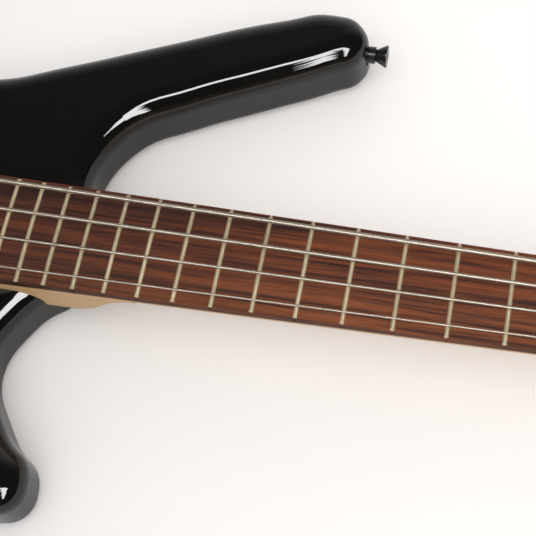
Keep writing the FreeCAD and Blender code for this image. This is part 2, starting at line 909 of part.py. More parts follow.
def make_neck(tools):
    sections = [shaft_section(v.heel_x, v.neck_depth_body), shaft_section(v.nut_end_x, v.neck_depth_nut)]
    shaft = Part.makeLoft(sections, True, True)
    blank = shaft.fuse([heel_block(), headstock_plate()]).removeSplitter()
    channel = box(
        Vector(v.board_end_x + v.rod_start, -v.rod_radius - v.play, rod_axis_z() - v.rod_radius - v.play),
        Vector(v.nut_end_x + v.overrun, v.rod_radius + v.play, v.board_z + v.overrun),
    )
    hole = bore(Z_AXIS * v.overrun, -Z_AXIS, v.bushing_radius, v.head_thick + 2 * v.overrun)
    holes = [placed(hole, tuner_place(name)) for name in TUNERS]
    return solid_piece("neck", blank.cut([channel, rod_pocket()] + holes + tools))


def make_truss_rod():
    start = v.board_end_x + v.rod_start + v.play
    low = rod_axis_z()
    high = low + 2 * v.rod_radius + v.play
    end = rod_end_x()
    lower = bore(Vector(start, 0, low), X_AXIS, v.rod_radius, end + v.rod_thread - start)
    upper = bore(Vector(start, 0, high), X_AXIS, v.rod_radius, v.nut_end_x - start)
    half = v.rod_radius
    ends = [box(Vector(x, -half, low - half), Vector(x + v.rod_block, half, high + half))
            for x in (start, v.nut_end_x - v.rod_block)]
    return solid_piece("truss_rod", lower.fuse([upper] + ends).removeSplitter())


def make_rod_nut():
    bored = "rod_radius + running_play"
    depth = "rod_thread + clear_gap"
    nut = turned("truss_rod_nut_blank", [
        (bored, "0"),
        ("rod_nut_radius", "0"),
        ("rod_nut_radius", "rod_nut_length"),
        ("0", "rod_nut_length"),
        ("0", depth),
        (bored, depth),
    ])
    doc.recompute()
    socket = hex_bar(v.socket_share * v.rod_nut_radius, v.rod_thread, v.rod_nut_length + v.overrun)
    place = at(rod_end_x() + v.clear_gap, 0, rod_axis_z(), X_AXIS)
    return solid_piece("truss_rod_nut", nut.Shape.cut(socket), place)


# Body

def outline_points():
    spans = {
        "trunk": (-v.tail_reach, v.tail_reach + v.heel_line),
        "bass_horn": (v.heel_line, v.bass_horn_reach),
        "treble_horn": (v.heel_line, v.treble_horn_reach),
    }
    points = []
    for span, along, across in outline_shares:
        start, length = spans[span]
        width = v.bass_width if across > 0 else v.treble_width
        points.append(Vector(start + along * length, across * width, 0))
    return points


def tightest_turn(edges):
    """Smallest radius among the outline's outward turns."""
    radii = []
    for edge in edges:
        if isinstance(edge.Curve, Part.Circle):
            start = edge.valueAt(edge.FirstParameter)
            heading = edge.tangentAt(edge.FirstParameter)
            if heading.cross(edge.Curve.Center - start).z > 0:
                radii.append(edge.Curve.Radius)
    return min(radii)


def body_blank():
    points = outline_points()
    headings = headings_through(points, True)
    edges = smooth_edges(points + points[:1], headings + headings[:1])
    turn = tightest_turn(edges)
    print(f"body outline: tightest outward turn {turn:.1f} mm")
    blank = Part.Face(Part.Wire(edges)).extrude(Z_AXIS * v.body_thick)
    top = [edge for edge in blank.Edges if edge.BoundBox.ZMin > v.body_thick / 2]
    blank = blank.makeFillet(min(v.top_round, turn * round_share), top)
    back = [edge for edge in blank.Edges if edge.BoundBox.ZMax < v.back_round / 2]
    return blank.makeFillet(min(v.back_round, turn * round_share), back)


def button_points():
    """Outline points that carry the strap buttons, the rearmost one and the foremost one."""
    points = outline_points()
    order = sorted(range(len(points)), key=lambda index: points[index].x)
    return order[0], order[-1]


def outline_place(index):
    """Place on the body's wall at an outline point, its Z axis pointing outwards."""
    points = outline_points()
    heading = headings_through(points, True)[index]
    outward = heading.cross(Z_AXIS)
    seat = points[index] - outward * v.button_seat_depth
    return at(seat.x, seat.y, v.body_thick / 2, outward)


def pickup_box(x, low_z, high_z, spare):
    half = Vector(v.pickup_width / 2 + spare, v.pickup_length / 2 + spare, 0)
    centre = Vector(x, 0, 0)
    return rounded_box(centre - half + Z_AXIS * low_z, centre + half + Z_AXIS * high_z, v.pickup_round)


def lead_height():
    return v.pickup_base_z + v.lead_radius + v.clear_gap


def pot_x(name):
    return v.cavity_x + control_shares[name] * v.pot_spacing


PICKUPS = {"neck": (v.neck_pickup_x, "volume_neck"), "bridge": (v.bridge_pickup_x, "volume_bridge")}


def pot_centre(name):
    return Vector(pot_x(name), v.cavity_y, lead_height())


def rod_between(start, end, radius):
    return bore(start, (end - start).normalize(), radius, (end - start).Length)


def pickup_run(name, radius):
    """Straight round run from inside a pickup coil to the axis of its control."""
    x, control = PICKUPS[name]
    start = Vector(x - v.pickup_width / 4, v.pickup_lug * 3 / 2 - v.pickup_length / 2, lead_height())
    return rod_between(start, pot_centre(control), radius)


def cavity(low_z, high_z, spare):
    half = Vector(v.cavity_length / 2 + spare, v.cavity_width / 2 + spare, 0)
    centre = Vector(v.cavity_x, v.cavity_y, 0)
    return rounded_box(centre - half + Z_AXIS * low_z, centre + half + Z_AXIS * high_z, v.cavity_round)


def make_body(tools):
    far = v.heel_x + v.heel_sweep
    cuts = [taper_block(v.board_end_x - v.play, far, v.heel_z, v.body_thick + v.overrun, v.play)]
    for name, (x, control) in PICKUPS.items():
        cuts.append(pickup_box(x, v.pickup_floor_z, v.body_thick + v.overrun, v.clear_gap))
        cuts.append(pickup_run(name, v.channel_radius))
    rebate = v.cover_thick + v.clear_gap
    cuts.append(cavity(-v.overrun, v.ceiling_z, 0))
    cuts.append(cavity(-v.overrun, rebate, v.cover_ledge + v.play))
    for name in control_shares:
        base = Vector(pot_x(name), v.cavity_y, v.ceiling_z - v.overrun)
        cuts.append(bore(base, Z_AXIS, v.pot_bushing_radius + v.play, v.control_wall + 2 * v.overrun))
    seat = Vector(v.cavity_x, v.jack_seat_y, v.body_thick / 2)
    cuts.append(bore(seat, -Y_AXIS, v.jack_flange_radius + v.clear_gap, v.jack_sink + v.overrun))
    wall = v.cavity_wall_y - v.jack_seat_y
    cuts.append(bore(seat, Y_AXIS, v.jack_barrel_radius + v.play, wall + v.overrun))
    for index in button_points():
        place = outline_place(index)
        reach = v.button_seat_depth + v.overrun
        cuts.append(placed(bore(ORIGIN, Z_AXIS, v.button_flare_radius, reach), place))
    return solid_piece("body", body_blank().cut(cuts + tools))


# Neck fastening, strap buttons and small screws

def neck_screw_places(depth):
    across = v.neck_screw_spread / 2
    front = v.heel_line - v.neck_screw_margin - v.back_round
    rear = v.board_end_x + v.neck_screw_margin
    return [at(x, y, depth, -Z_AXIS) for x in (rear, front) for y in (-across, across)]


def make_neck_fastening():
    """Screws through the heel, each seated in a ferrule sunk in the back. Gives the body's cuts too."""
    ferrule = turned("neck_ferrule", [
        ("neck_screw_head", "0"),
        ("ferrule_radius", "0"),
        ("ferrule_radius", "-ferrule_depth"),
        ("neck_screw_shank", "-ferrule_depth"),
        ("neck_screw_shank", "neck_screw_shank - neck_screw_head - ferrule_sink"),
        ("neck_screw_head", "-ferrule_sink"),
    ])
    rims = neck_screw_places(v.clear_gap)
    copies("neck_ferrules", ferrule, rims)
    room = screws("neck_screws", "neck_screw", neck_screw_places(v.clear_gap + v.ferrule_sink))
    seat = bore(Z_AXIS * v.overrun, -Z_AXIS, v.ferrule_radius, v.ferrule_depth + v.overrun)
    return room, [placed(seat, rim) for rim in rims]


def make_strap_buttons():
    tip = "button_length"
    button = turned("strap_button", [
        ("button_screw_shank", "0"),
        ("button_collar_radius", "0"),
        ("button_collar_radius", "button_collar_length"),
        ("button_waist_radius", "button_collar_length"),
        ("button_flare_radius", "button_collar_length + button_flare_length"),
        ("button_flare_radius", tip),
        ("button_screw_head", tip),
        ("button_screw_shank", f"{tip} + button_screw_shank - button_screw_head"),
    ])
    seats = [outline_place(index) for index in button_points()]
    copies("strap_buttons", button, seats)
    tips = [seat.multiply(at(0, 0, v.button_length)) for seat in seats]
    return screws("strap_button_screws", "button_screw", tips)


def plate_screw_places():
    """Screws of the control cover, the truss rod cover and the tuner plates."""
    places = []
    for x_side in (-1, 1):
        for y_side in (-1, 1):
            x = v.cavity_x + x_side * (v.cavity_length + v.cover_ledge) / 2
            y = v.cavity_y + y_side * v.cavity_width / 4
            places.append(at(x, y, v.clear_gap, -Z_AXIS))
    near = v.rod_cover_round + v.clear_gap
    aside = v.rod_cover_width / 2 - v.plate_screw_margin
    far = v.rod_cover_length - v.rod_cover_round
    for x, y in ((near, aside), (near, -aside), (far, 0)):
        places.append(head_place.multiply(at(x, y, v.rod_cover_thick)))
    rear = v.plate_screw_margin - v.bushing_flange_radius
    front = v.worm_offset + v.lug_length - v.plate_screw_margin
    side = v.tuner_plate_width / 2 - v.plate_screw_margin
    for name in TUNERS:
        for x in (rear, front):
            for y in (-side, side):
                places.append(tuner_place(name).multiply(at(x, y, v.plate_low, -Z_AXIS)))
    return places


def make_covers(screw_room):
    """Control cover and truss rod cover, with their screw holes."""
    sides = rectangle("cover_length", "cover_width")
    cover = rounded(padded_plate("control_plate", sides, "cover_thick"), "cavity_round", upright)
    sides = rectangle("rod_cover_length", "rod_cover_width")
    rod_cover = rounded(padded_plate("rod_plate", sides, "rod_cover_thick"), "rod_cover_round", upright)
    doc.recompute()
    place = at(v.cavity_x, v.cavity_y, v.clear_gap)
    solid_piece("control_cover", placed(cover.Shape, place).cut(screw_room))
    place = head_place.multiply(at(v.rod_cover_length / 2 + v.clear_gap, 0, 0))
    solid_piece("truss_rod_cover", placed(rod_cover.Shape, place).cut(screw_room))


# Bridge

def bridge_screw_places():
    front = v.bridge_front - v.bridge_screw_margin
    rear = v.bridge_screw_margin - v.block_front
    places = [at(front, share * v.bridge_spacing, v.bridge_top_z) for share in front_screw_shares]
    return places + [at(rear, share * v.bridge_spacing, v.bridge_top_z) for share in rear_screw_shares]


def make_bridge_base(screw_room):
    half = v.bridge_width / 2
    rear = v.block_x - v.block_length
    plate = box(Vector(rear, -half, v.body_thick), Vector(v.bridge_front, half, v.bridge_top_z))
    block = box(Vector(rear, -half, v.body_thick), Vector(v.block_x, half, v.body_thick + v.block_height))
    base = plate.fuse(block).removeSplitter()
    corners = [edge for edge in base.Edges if upright(edge) and edge.BoundBox.ZMin < v.bridge_top_z - v.play]
    base = base.makeFillet(v.bridge_round, corners)
    cuts = [screw_room]
    high = v.body_thick + v.block_height + v.overrun
    for name in string_shares:
        ball = string_corners(name)[0]
        room = v.ball_radius + v.play
        cuts.append(box(
            Vector(ball.x - v.ball_length / 2 - v.play, ball.y - room, ball.z - room),
            Vector(ball.x + v.ball_length / 2, ball.y + room, high),
        ))
        room = getattr(v, f"gauge_{name}") / 2 + v.clear_gap
        cuts.append(box(
            Vector(ball.x, ball.y - room, ball.z - room),
            Vector(v.block_x + v.overrun, ball.y + room, high),
        ))
        axis = Vector(rear - v.overrun, ball.y, v.intonation_z)
        cuts.append(bore(axis, X_AXIS, v.intonation_shank + v.running_play, v.block_length + 2 * v.overrun))
        recess = v.intonation_head_length + 2 * v.clear_gap
        cuts.append(bore(axis, X_AXIS, v.intonation_head + v.clear_gap, recess + v.overrun))
    return solid_piece("bridge_base", base.cut(cuts))


def saddle_profile(name, low, sink):
    """Side view of a saddle down to low, its top sunk under the string's centre line."""
    ball, saddle, over_nut = string_corners(name)
    rear_z = saddle.z - (saddle.z - ball.z) * v.saddle_back / (saddle.x - ball.x)
    front_z = saddle.z - (saddle.z - over_nut.z) * v.saddle_front / over_nut.x
    return [
        Vector(-v.saddle_back, 0, low),
        Vector(v.saddle_front, 0, low),
        Vector(v.saddle_front, 0, front_z - sink),
        Vector(0, 0, saddle.z - sink),
        Vector(-v.saddle_back, 0, rear_z - sink),
    ]


def make_saddle(name):
    """Saddle, its two height screws and its intonation screw."""
    ball, saddle, over_nut = string_corners(name)
    y = saddle.y
    gauge = getattr(v, f"gauge_{name}")
    low = v.bridge_top_z + v.saddle_lift
    corners = [corner + Y_AXIS * (y - v.saddle_width / 2) for corner in saddle_profile(name, low, 0)]
    block = prism(corners, Y_AXIS * v.saddle_width)
    block = block.makeFillet(v.saddle_round, [edge for edge in block.Edges if upright(edge)])
    room = gauge / 2 + v.clear_gap
    under = saddle_profile(name, low, room)
    rear = under[4] + (under[4] - under[3])
    front = under[2] + (under[2] - under[3])
    high = saddle.z + v.overrun
    groove = [front, under[3], rear, Vector(rear.x, 0, high), Vector(front.x, 0, high)]
    groove = prism([corner + Y_AXIS * (y - room) for corner in groove], Y_AXIS * (2 * room))
    mouth = Vector(-v.saddle_back - v.overrun, y, v.intonation_z)
    tapped = bore(mouth, X_AXIS, v.intonation_shank + v.running_play, v.saddle_thread + v.overrun)
    middle = -v.saddle_back / 2
    foot = v.bridge_top_z + v.running_play
    top = (saddle.z + ball.z) / 2 + v.running_play
    holes = []
    legs = []
    for side in (-1, 1):
        base = Vector(middle, y + side * v.height_screw_spread / 2, foot)
        holes.append(bore(base, Z_AXIS, v.height_screw_radius, high - foot))
        rise = top - foot
        radius = v.socket_share * v.height_screw_radius
        socket = hex_bar(radius, rise - v.height_screw_radius, rise + v.overrun, base)
        legs.append(bore(base, Z_AXIS, v.height_screw_radius, rise).cut(socket))
    solid_piece(f"saddle_{name}", block.cut([groove, tapped] + holes))
    solid_piece(f"height_screws_{name}", Part.makeCompound(legs))
    make_intonation_screw(name, y)


def make_intonation_screw(name, y):
    """Cap screw along the string, its head in the block and its tip in the saddle."""
    shank_start = v.block_x - v.block_length + v.intonation_head_length + v.clear_gap
    length = -v.saddle_back + v.saddle_thread - v.clear_gap - shank_start
    head = bore(ORIGIN, -Z_AXIS, v.intonation_head, v.intonation_head_length)
    shank = bore(ORIGIN, Z_AXIS, v.intonation_shank, length)
    floor = v.intonation_head_length * (v.socket_share - 1)
    socket = hex_bar(v.socket_share * v.intonation_head, -v.intonation_head_length - v.overrun, floor)
    shape = head.fuse(shank).removeSplitter().cut(socket)
    return solid_piece(f"intonation_screw_{name}", shape, at(shank_start, y, v.intonation_z, X_AXIS))


# Pickups, controls, jack and leads

def make_pickups():
    """Hollow covers with their coils, foam pads and screws. Gives the room of the screws."""
    ends = v.pickup_length / 2 - v.pickup_lug / 2
    places = [at(x, y, v.pickup_top_z) for x, control in PICKUPS.values() for y in (-ends, ends)]
    room = screws("pickup_screws", "pickup_screw", places)
    half = Vector(v.pickup_width / 2 - v.pickup_wall, v.pickup_length / 2 - v.pickup_lug, 0)
    coils = []
    foams = []
    for name, (x, control) in PICKUPS.items():
        centre = Vector(x, 0, v.pickup_base_z)
        top = Z_AXIS * (v.pickup_height - v.pickup_wall)
        hollow = rounded_box(centre - half - Z_AXIS * v.overrun, centre + half + top, v.coil_round)
        cover = pickup_box(x, v.pickup_base_z, v.pickup_top_z, 0)
        rim = [edge for edge in cover.Edges if edge.BoundBox.ZMin > v.pickup_top_z - v.pickup_wall]
        cover = cover.makeFillet(v.pickup_wall / 2, rim)
        solid_piece(f"pickup_cover_{name}", cover.cut([hollow, room, pickup_run(name, v.channel_radius)]))
        inset = Vector(v.play, v.play, 0)
        coils.append(rounded_box(centre - half + inset, centre + half - inset + top, v.coil_round))
        foams.append(rounded_box(centre - half - Z_AXIS * v.foam_thick, centre + half, v.coil_round))
    solid_piece("pickup_coils", Part.makeCompound(coils))
    solid_piece("pickup_foams", Part.makeCompound(foams))
    return room


def hex_nut(radius, hole, thick):
    return hex_bar(radius, 0, thick).cut(bore(-Z_AXIS * thick, Z_AXIS, hole, 3 * thick))


def make_controls():
    """Pot casings with their nuts, and the knobs with the shafts that turn in the casings."""
    bushing_top = "control_wall + pot_bushing_rise"
    casing = turned("pot_casing", [
        ("0", "-pot_height"),
        ("pot_radius", "-pot_height"),
        ("pot_radius", "0"),
        ("pot_bushing_radius", "0"),
        ("pot_bushing_radius", bushing_top),
        ("pot_shaft_radius + running_play", bushing_top),
        ("pot_shaft_radius + running_play", "-pot_shaft_sink"),
        ("0", "-pot_shaft_sink"),
    ])
    copies("pot_casings", casing, [at(pot_x(name), v.cavity_y, v.ceiling_z) for name in control_shares])
    tops = [at(pot_x(name), v.cavity_y, v.body_thick) for name in control_shares]
    nut = hex_nut(v.pot_nut_radius, v.pot_bushing_radius, v.pot_nut_thick)
    solid_piece("pot_nuts", Part.makeCompound([placed(nut, place) for place in tops]))
    roof = "pot_bushing_rise + clear_gap"
    knob = turned("knob", [
        ("knob_skirt", "clear_gap"),
        ("knob_radius", "clear_gap"),
        ("knob_radius", "knob_height - knob_crown"),
        ("knob_radius - knob_crown", "knob_height"),
        ("0", "knob_height"),
        ("0", "pot_shaft_rise"),
        ("pot_shaft_radius", "pot_shaft_rise"),
        ("pot_shaft_radius", roof),
        ("knob_skirt", roof),
    ])
    doc.recompute()
    mark = box(
        Vector(-v.knob_mark_width / 2, v.knob_radius / 3, v.knob_height - v.knob_mark_depth),
        Vector(v.knob_mark_width / 2, v.knob_radius + v.overrun, v.knob_height + v.overrun),
    )
    foot = v.clear_gap - v.control_wall - v.pot_shaft_sink
    shaft = bore(Z_AXIS * foot, Z_AXIS, v.pot_shaft_radius, v.pot_shaft_rise - foot)
    shape = Part.makeCompound([knob.Shape.cut(mark), shaft])
    for name, place in zip(control_shares, tops):
        solid_piece(f"knob_{name}", shape, place)


def make_jack():
    outer = "0 - jack_flange_thick"
    jack = turned("output_jack", [
        ("jack_bore_radius", outer),
        ("jack_flange_radius", outer),
        ("jack_flange_radius", "0"),
        ("jack_barrel_radius", "0"),
        ("jack_barrel_radius", "jack_barrel_length"),
        ("0", "jack_barrel_length"),
        ("0", "jack_bore_depth"),
        ("jack_bore_radius", "jack_bore_depth"),
    ])
    jack.Placement = at(v.cavity_x, v.jack_seat_y, v.body_thick / 2, Y_AXIS)
    bind(jack, Placement_at_Base_at_x="cavity_x", Placement_at_Base_at_y="jack_seat_y",
         Placement_at_Base_at_z="body_thick / 2")
    nut = hex_nut(v.jack_nut_radius, v.jack_barrel_radius, v.jack_nut_thick)
    solid_piece("jack_nut", nut, at(v.cavity_x, v.cavity_wall_y, v.body_thick / 2, Y_AXIS))
    return keep(jack)


def make_wiring():
    """Straight leads, each ending at the faces that it joins."""
    doc.recompute()
    joined = [piece.Shape for piece in kept if piece.Label in ("pickup_coils", "output_jack")]
    for name in control_shares:
        low = Vector(pot_x(name), v.cavity_y, v.ceiling_z - v.pot_height)
        joined.append(bore(low, Z_AXIS, v.pot_radius, v.pot_height))
    runs = [pickup_run(name, v.lead_radius) for name in PICKUPS]
    for first, second in (("volume_neck", "volume_bridge"), ("volume_bridge", "tone")):
        runs.append(rod_between(pot_centre(first), pot_centre(second), v.lead_radius))
    socket_end = Vector(v.cavity_x, v.jack_seat_y + v.jack_barrel_length, v.body_thick / 2)
    runs.append(rod_between(socket_end - Y_AXIS * v.lead_radius, pot_centre("volume_bridge"), v.lead_radius))
    return solid_piece("wiring", Part.makeCompound([run.cut(joined) for run in runs]))


# Tuners, each in its own frame on the post's axis at the headstock face

def post_shape():
    stub = "worm_w - wheel_thick"
    shoulder = "plate_low - clear_gap"
    post = turned("tuner_post", [
        ("0", stub),
        ("post_stub_radius", stub),
        ("post_stub_radius", shoulder),
        ("post_radius", shoulder),
        ("post_radius", "post_waist_start"),
        ("post_waist_radius", "post_waist_start"),
        ("post_waist_radius", "post_waist_end"),
        ("post_radius", "post_waist_end"),
        ("post_radius", "post_height"),
        ("0", "post_height"),
    ])
    doc.recompute()
    reach = v.post_radius + v.overrun
    slot = box(
        Vector(-reach, -v.post_slot_width / 2, v.post_height - v.post_slot_depth),
        Vector(reach, v.post_slot_width / 2, v.post_height + v.overrun),
    )
    return post.Shape.cut(slot)


def gear_shape():
    """Worm wheel with one tooth facing the worm."""
    root = v.wheel_radius - v.tooth_addendum - v.tooth_clearance
    tip = v.wheel_radius + v.tooth_addendum
    root_half = v.tooth_width / 2 + v.tooth_slope * (v.tooth_addendum + v.tooth_clearance)
    tip_half = v.tooth_width / 2 - v.tooth_slope * v.tooth_addendum
    low = v.worm_w - v.wheel_thick / 2
    teeth = int(v.wheel_teeth)
    corners = []
    for tooth in range(teeth):
        turn = Rotation(Z_AXIS, 360 * tooth / teeth)
        for reach, half in ((root, -root_half), (tip, -tip_half), (tip, tip_half), (root, root_half)):
            corners.append(turn.multVec(Vector(reach, half, low)))
    wheel = prism(corners, Z_AXIS * v.wheel_thick)
    below = Z_AXIS * (low - v.overrun)
    return wheel.cut(bore(below, Z_AXIS, v.post_stub_radius, v.wheel_thick + 2 * v.overrun))


def worm_thread():
    """One right-hand thread about Z, its gaps facing a tooth at -X on the middle plane."""
    length = v.worm_turns * v.worm_pitch
    core = v.worm_radius - v.tooth_addendum - v.tooth_clearance
    tip = v.worm_radius + v.tooth_addendum
    root_half = v.thread_width / 2 + v.tooth_slope * (v.tooth_addendum + v.tooth_clearance)
    tip_half = v.thread_width / 2 - v.tooth_slope * v.tooth_addendum
    foot = core - v.clear_gap
    corners = [Vector(foot, 0, -root_half), Vector(tip, 0, -tip_half), Vector(tip, 0, tip_half),
               Vector(foot, 0, root_half)]
    route = Part.Wire(Part.makeHelix(v.worm_pitch, length, core))
    thread = route.makePipeShell([Part.makePolygon(corners + corners[:1])], True, True)
    thread.translate(-Z_AXIS * (length / 2))
    return thread


def paddle_shape():
    """Oval paddle with softened edges, its plane holding the key's axis."""
    centre = Vector(0, -v.key_paddle_thick / 2, v.key_stem_reach + v.key_paddle_reach / 2)
    along = Z_AXIS * (v.key_paddle_reach / 2)
    across = X_AXIS * (v.key_paddle_height / 2)
    points = [centre - along, centre + across, centre + along, centre - across, centre - along]
    oval = Part.Face(Part.Wire(smooth_edges(points, [X_AXIS, Z_AXIS, -X_AXIS, -Z_AXIS, X_AXIS])))
    blank = oval.extrude(Y_AXIS * v.key_paddle_thick)
    rim = [edge for edge in blank.Edges if edge.BoundBox.YLength < v.key_paddle_thick / 2]
    return blank.makeFillet(v.key_paddle_round, rim)


def key_shape():
    """Worm, shaft and paddle in one piece, along +Y."""
    core = "worm_radius - tooth_addendum - tooth_clearance"
    inner = "-lug_reach - lug_width - clear_gap"
    reach = "lug_reach - clear_gap"
    collar = "key_stem_reach - key_collar_length"
    end = "key_stem_reach + key_paddle_round"
    shaft = turned("tuner_key_shaft", [
        ("0", inner),
        ("worm_shaft_radius", inner),
        ("worm_shaft_radius", f"-({reach})"),
        (core, f"-({reach})"),
        (core, reach),
        ("worm_shaft_radius", reach),
        ("worm_shaft_radius", collar),
        ("key_collar_radius", collar),
        ("key_collar_radius", end),
        ("0", end),
    ])
    doc.recompute()
    key = shaft.Shape.fuse([worm_thread(), paddle_shape()])
    return placed(key, Placement(Vector(v.worm_offset, 0, v.worm_w), Rotation(X_AXIS, -90)))


def plate_shape():
    """Plate under the headstock with the two lugs that carry the worm."""
    rear = -v.bushing_flange_radius
    front = v.worm_offset + v.lug_length
    half = v.tuner_plate_width / 2
    low = Vector(rear, -half, v.plate_low)
    plate = rounded_box(low, Vector(front, half, -v.head_thick), v.tuner_plate_round)
    lugs = []
    for side in (-1, 1):
        middle = side * (v.lug_reach + v.lug_width / 2)
        lugs.append(box(
            Vector(v.worm_offset - v.lug_length / 2, middle - v.lug_width / 2, v.worm_w - v.lug_drop),
            Vector(v.worm_offset + v.lug_length / 2, middle + v.lug_width / 2, v.plate_low),
        ))
    reach = half + v.overrun
    start = Vector(v.worm_offset, -reach, v.worm_w)
    shaft = bore(start, Y_AXIS, v.worm_shaft_radius + v.running_play, 2 * reach)
    hole = bore(Z_AXIS * (v.plate_low - v.overrun), Z_AXIS, v.post_radius + v.running_play,
                v.tuner_plate_thick + 2 * v.overrun)
    return plate.fuse(lugs).removeSplitter().cut([shaft, hole])


def make_tuners(screw_room):
    bushing = turned("tuner_bushing", [
        ("post_radius + running_play", "bushing_flange_thick"),
        ("post_radius + running_play", "0 - head_thick"),
        ("bushing_radius", "0 - head_thick"),
        ("bushing_radius", "0"),
        ("bushing_flange_radius", "0"),
        ("bushing_flange_radius", "bushing_flange_thick"),
    ])
    copies("tuner_bushings", bushing, [tuner_place(name) for name in TUNERS])
    plate = plate_shape()
    plates = [placed(plate, tuner_place(name)).cut(screw_room) for name in TUNERS]
    solid_piece("tuner_plates", Part.makeCompound(plates))
    post = post_shape()
    gear = gear_shape()
    key = key_shape()
    for name, (reach, offset, side) in TUNERS.items():
        place = tuner_place(name)
        solid_piece(f"tuner_post_{name}", post, place)
        solid_piece(f"tuner_gear_{name}", gear, place)
        solid_piece(f"tuner_key_{name}", key if side > 0 else key.mirror(ORIGIN, Y_AXIS), place)


# The whole bass

def make_bass():
    neck_screws, ferrule_seats = make_neck_fastening()
    button_screws = make_strap_buttons()
    plate_screws = screws("plate_screws", "plate_screw", plate_screw_places())
    bridge_screws = screws("bridge_screws", "bridge_screw", bridge_screw_places())
    pickup_screws = make_pickups()
    make_body(ferrule_seats + [neck_screws, button_screws, bridge_screws, pickup_screws, plate_screws])
    make_neck([neck_screws, plate_screws])
    dots = dot_holes()
    solid_piece("side_dots", Part.makeCompound(dots))
    make_fingerboard(dots)
    make_frets()
    make_nut()
    make_truss_rod()
    make_rod_nut()
    make_covers(plate_screws)
    make_bridge_base(bridge_screws)
    for name in string_shares:
        make_saddle(name)
    make_strings()
    make_controls()
    make_jack()
    make_wiring()
    make_tuners(plate_screws)


def check_and_export():
    doc.recompute()
    for item in doc.Objects:
        if "Invalid" in item.State or "Error" in item.State:
            raise RuntimeError(f"{item.Label}: {item.State}")
    for piece in kept:
        if piece.Shape.isNull() or not piece.Shape.isValid():
            raise RuntimeError(f"{piece.Label}: the shape is not valid")
    os.makedirs("parts", exist_ok=True)
    for piece in kept:
        piece.Shape.exportStep(f"parts/{piece.Label}.step")
        print(f"{piece.Label}: {len(piece.Shape.Solids)} solids, {piece.Shape.Volume:.1f} mm3")
    print(len(kept), "pieces")


make_bass()
check_and_export()
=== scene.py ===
import math

import bpy
from bpy.props import FloatProperty, FloatVectorProperty, IntProperty, PointerProperty
from mathutils import Matrix, Vector


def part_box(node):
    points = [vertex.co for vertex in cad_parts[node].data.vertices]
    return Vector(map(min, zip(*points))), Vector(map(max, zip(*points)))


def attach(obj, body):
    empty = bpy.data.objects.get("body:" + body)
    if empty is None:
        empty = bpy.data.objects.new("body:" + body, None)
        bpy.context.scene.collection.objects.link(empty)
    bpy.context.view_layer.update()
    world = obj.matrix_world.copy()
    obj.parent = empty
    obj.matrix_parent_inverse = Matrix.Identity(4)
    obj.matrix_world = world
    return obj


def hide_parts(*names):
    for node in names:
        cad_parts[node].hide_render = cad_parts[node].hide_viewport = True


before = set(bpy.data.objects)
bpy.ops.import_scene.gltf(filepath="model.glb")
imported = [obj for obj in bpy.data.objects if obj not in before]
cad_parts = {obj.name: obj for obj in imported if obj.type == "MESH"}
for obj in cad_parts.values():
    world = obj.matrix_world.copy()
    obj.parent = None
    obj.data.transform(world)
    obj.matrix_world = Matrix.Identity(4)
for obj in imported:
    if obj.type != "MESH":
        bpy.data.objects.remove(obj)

bl_info = {
    "name": "Electric bass looks",
    "version": (1, 0, 0),
    "blender": (4, 5, 0),
    "location": "3D View > Sidebar > Bass",
    "description": "Finishes, wound strings and the studio table of a four-string electric bass",
    "category": "Object",
}


# Settings

def colour(name, description, default):
    return FloatVectorProperty(
        name=name, description=description, default=default,
        subtype="COLOR", size=3, min=0, max=1,
    )


def length(name, description, default):
    return FloatProperty(
        name=name, description=description, default=default, unit="LENGTH", precision=5,
    )


def share(name, description, default):
    return FloatProperty(
        name=name, description=description, default=default, subtype="FACTOR", min=0, max=1,
    )


def power(name, description, default):
    return FloatProperty(name=name, description=description, default=default, unit="POWER", min=0)


def heading(name, description, default):
    return FloatVectorProperty(
        name=name, description=description, default=default, subtype="DIRECTION", size=3,
    )


class LacquerSettings(bpy.types.PropertyGroup):
    black: colour("Black", "Colour of the body's lacquer", (0.0035, 0.0035, 0.0032))
    polish: share("Polish", "Roughness where the lacquer is best polished", 0.035)
    haze: share("Haze", "Roughness where the lacquer is a little hazed", 0.075)
    ripple: length("Ripple", "Depth of the ripple left in the lacquer", 0.00002)


class WoodSettings(bpy.types.PropertyGroup):
    rosewood: colour("Rosewood", "Main colour of the board", (0.235, 0.062, 0.021))
    # The streak colour also serves as painted shade on the board's side
    rosewood_dark_and_shade: colour(
        "Rosewood streaks", "Colour of the dark streaks in the board", (0.026, 0.0085, 0.0065)
    )
    rosewood_edge: colour(
        "Rosewood edge", "Orange wood along the treble edge", (0.24, 0.066, 0.017)
    )
    maple: colour("Maple", "Main colour of the neck", (0.61, 0.385, 0.185))
    maple_line: colour(
        "Maple lines", "Colour of the growth lines in the neck", (0.50, 0.305, 0.14)
    )


class MetalSettings(bpy.types.PropertyGroup):
    fret: colour("Fret metal", "Pale brass of the frets", (0.90, 0.78, 0.52))
    string: colour("String steel", "Warm steel of the strings", (0.43, 0.375, 0.31))
    black_plating: colour(
        "Black plating", "Gloss black of bridge, tuners and buttons", (0.008, 0.008, 0.009)
    )
    black_oxide: colour("Black oxide", "Dull black of the screws", (0.02, 0.02, 0.021))
    steel: colour("Steel", "Plain steel of rod, controls and nuts", (0.50, 0.50, 0.51))
    brass: colour("Brass", "Bare brass of the tuner gears", (0.60, 0.42, 0.16))


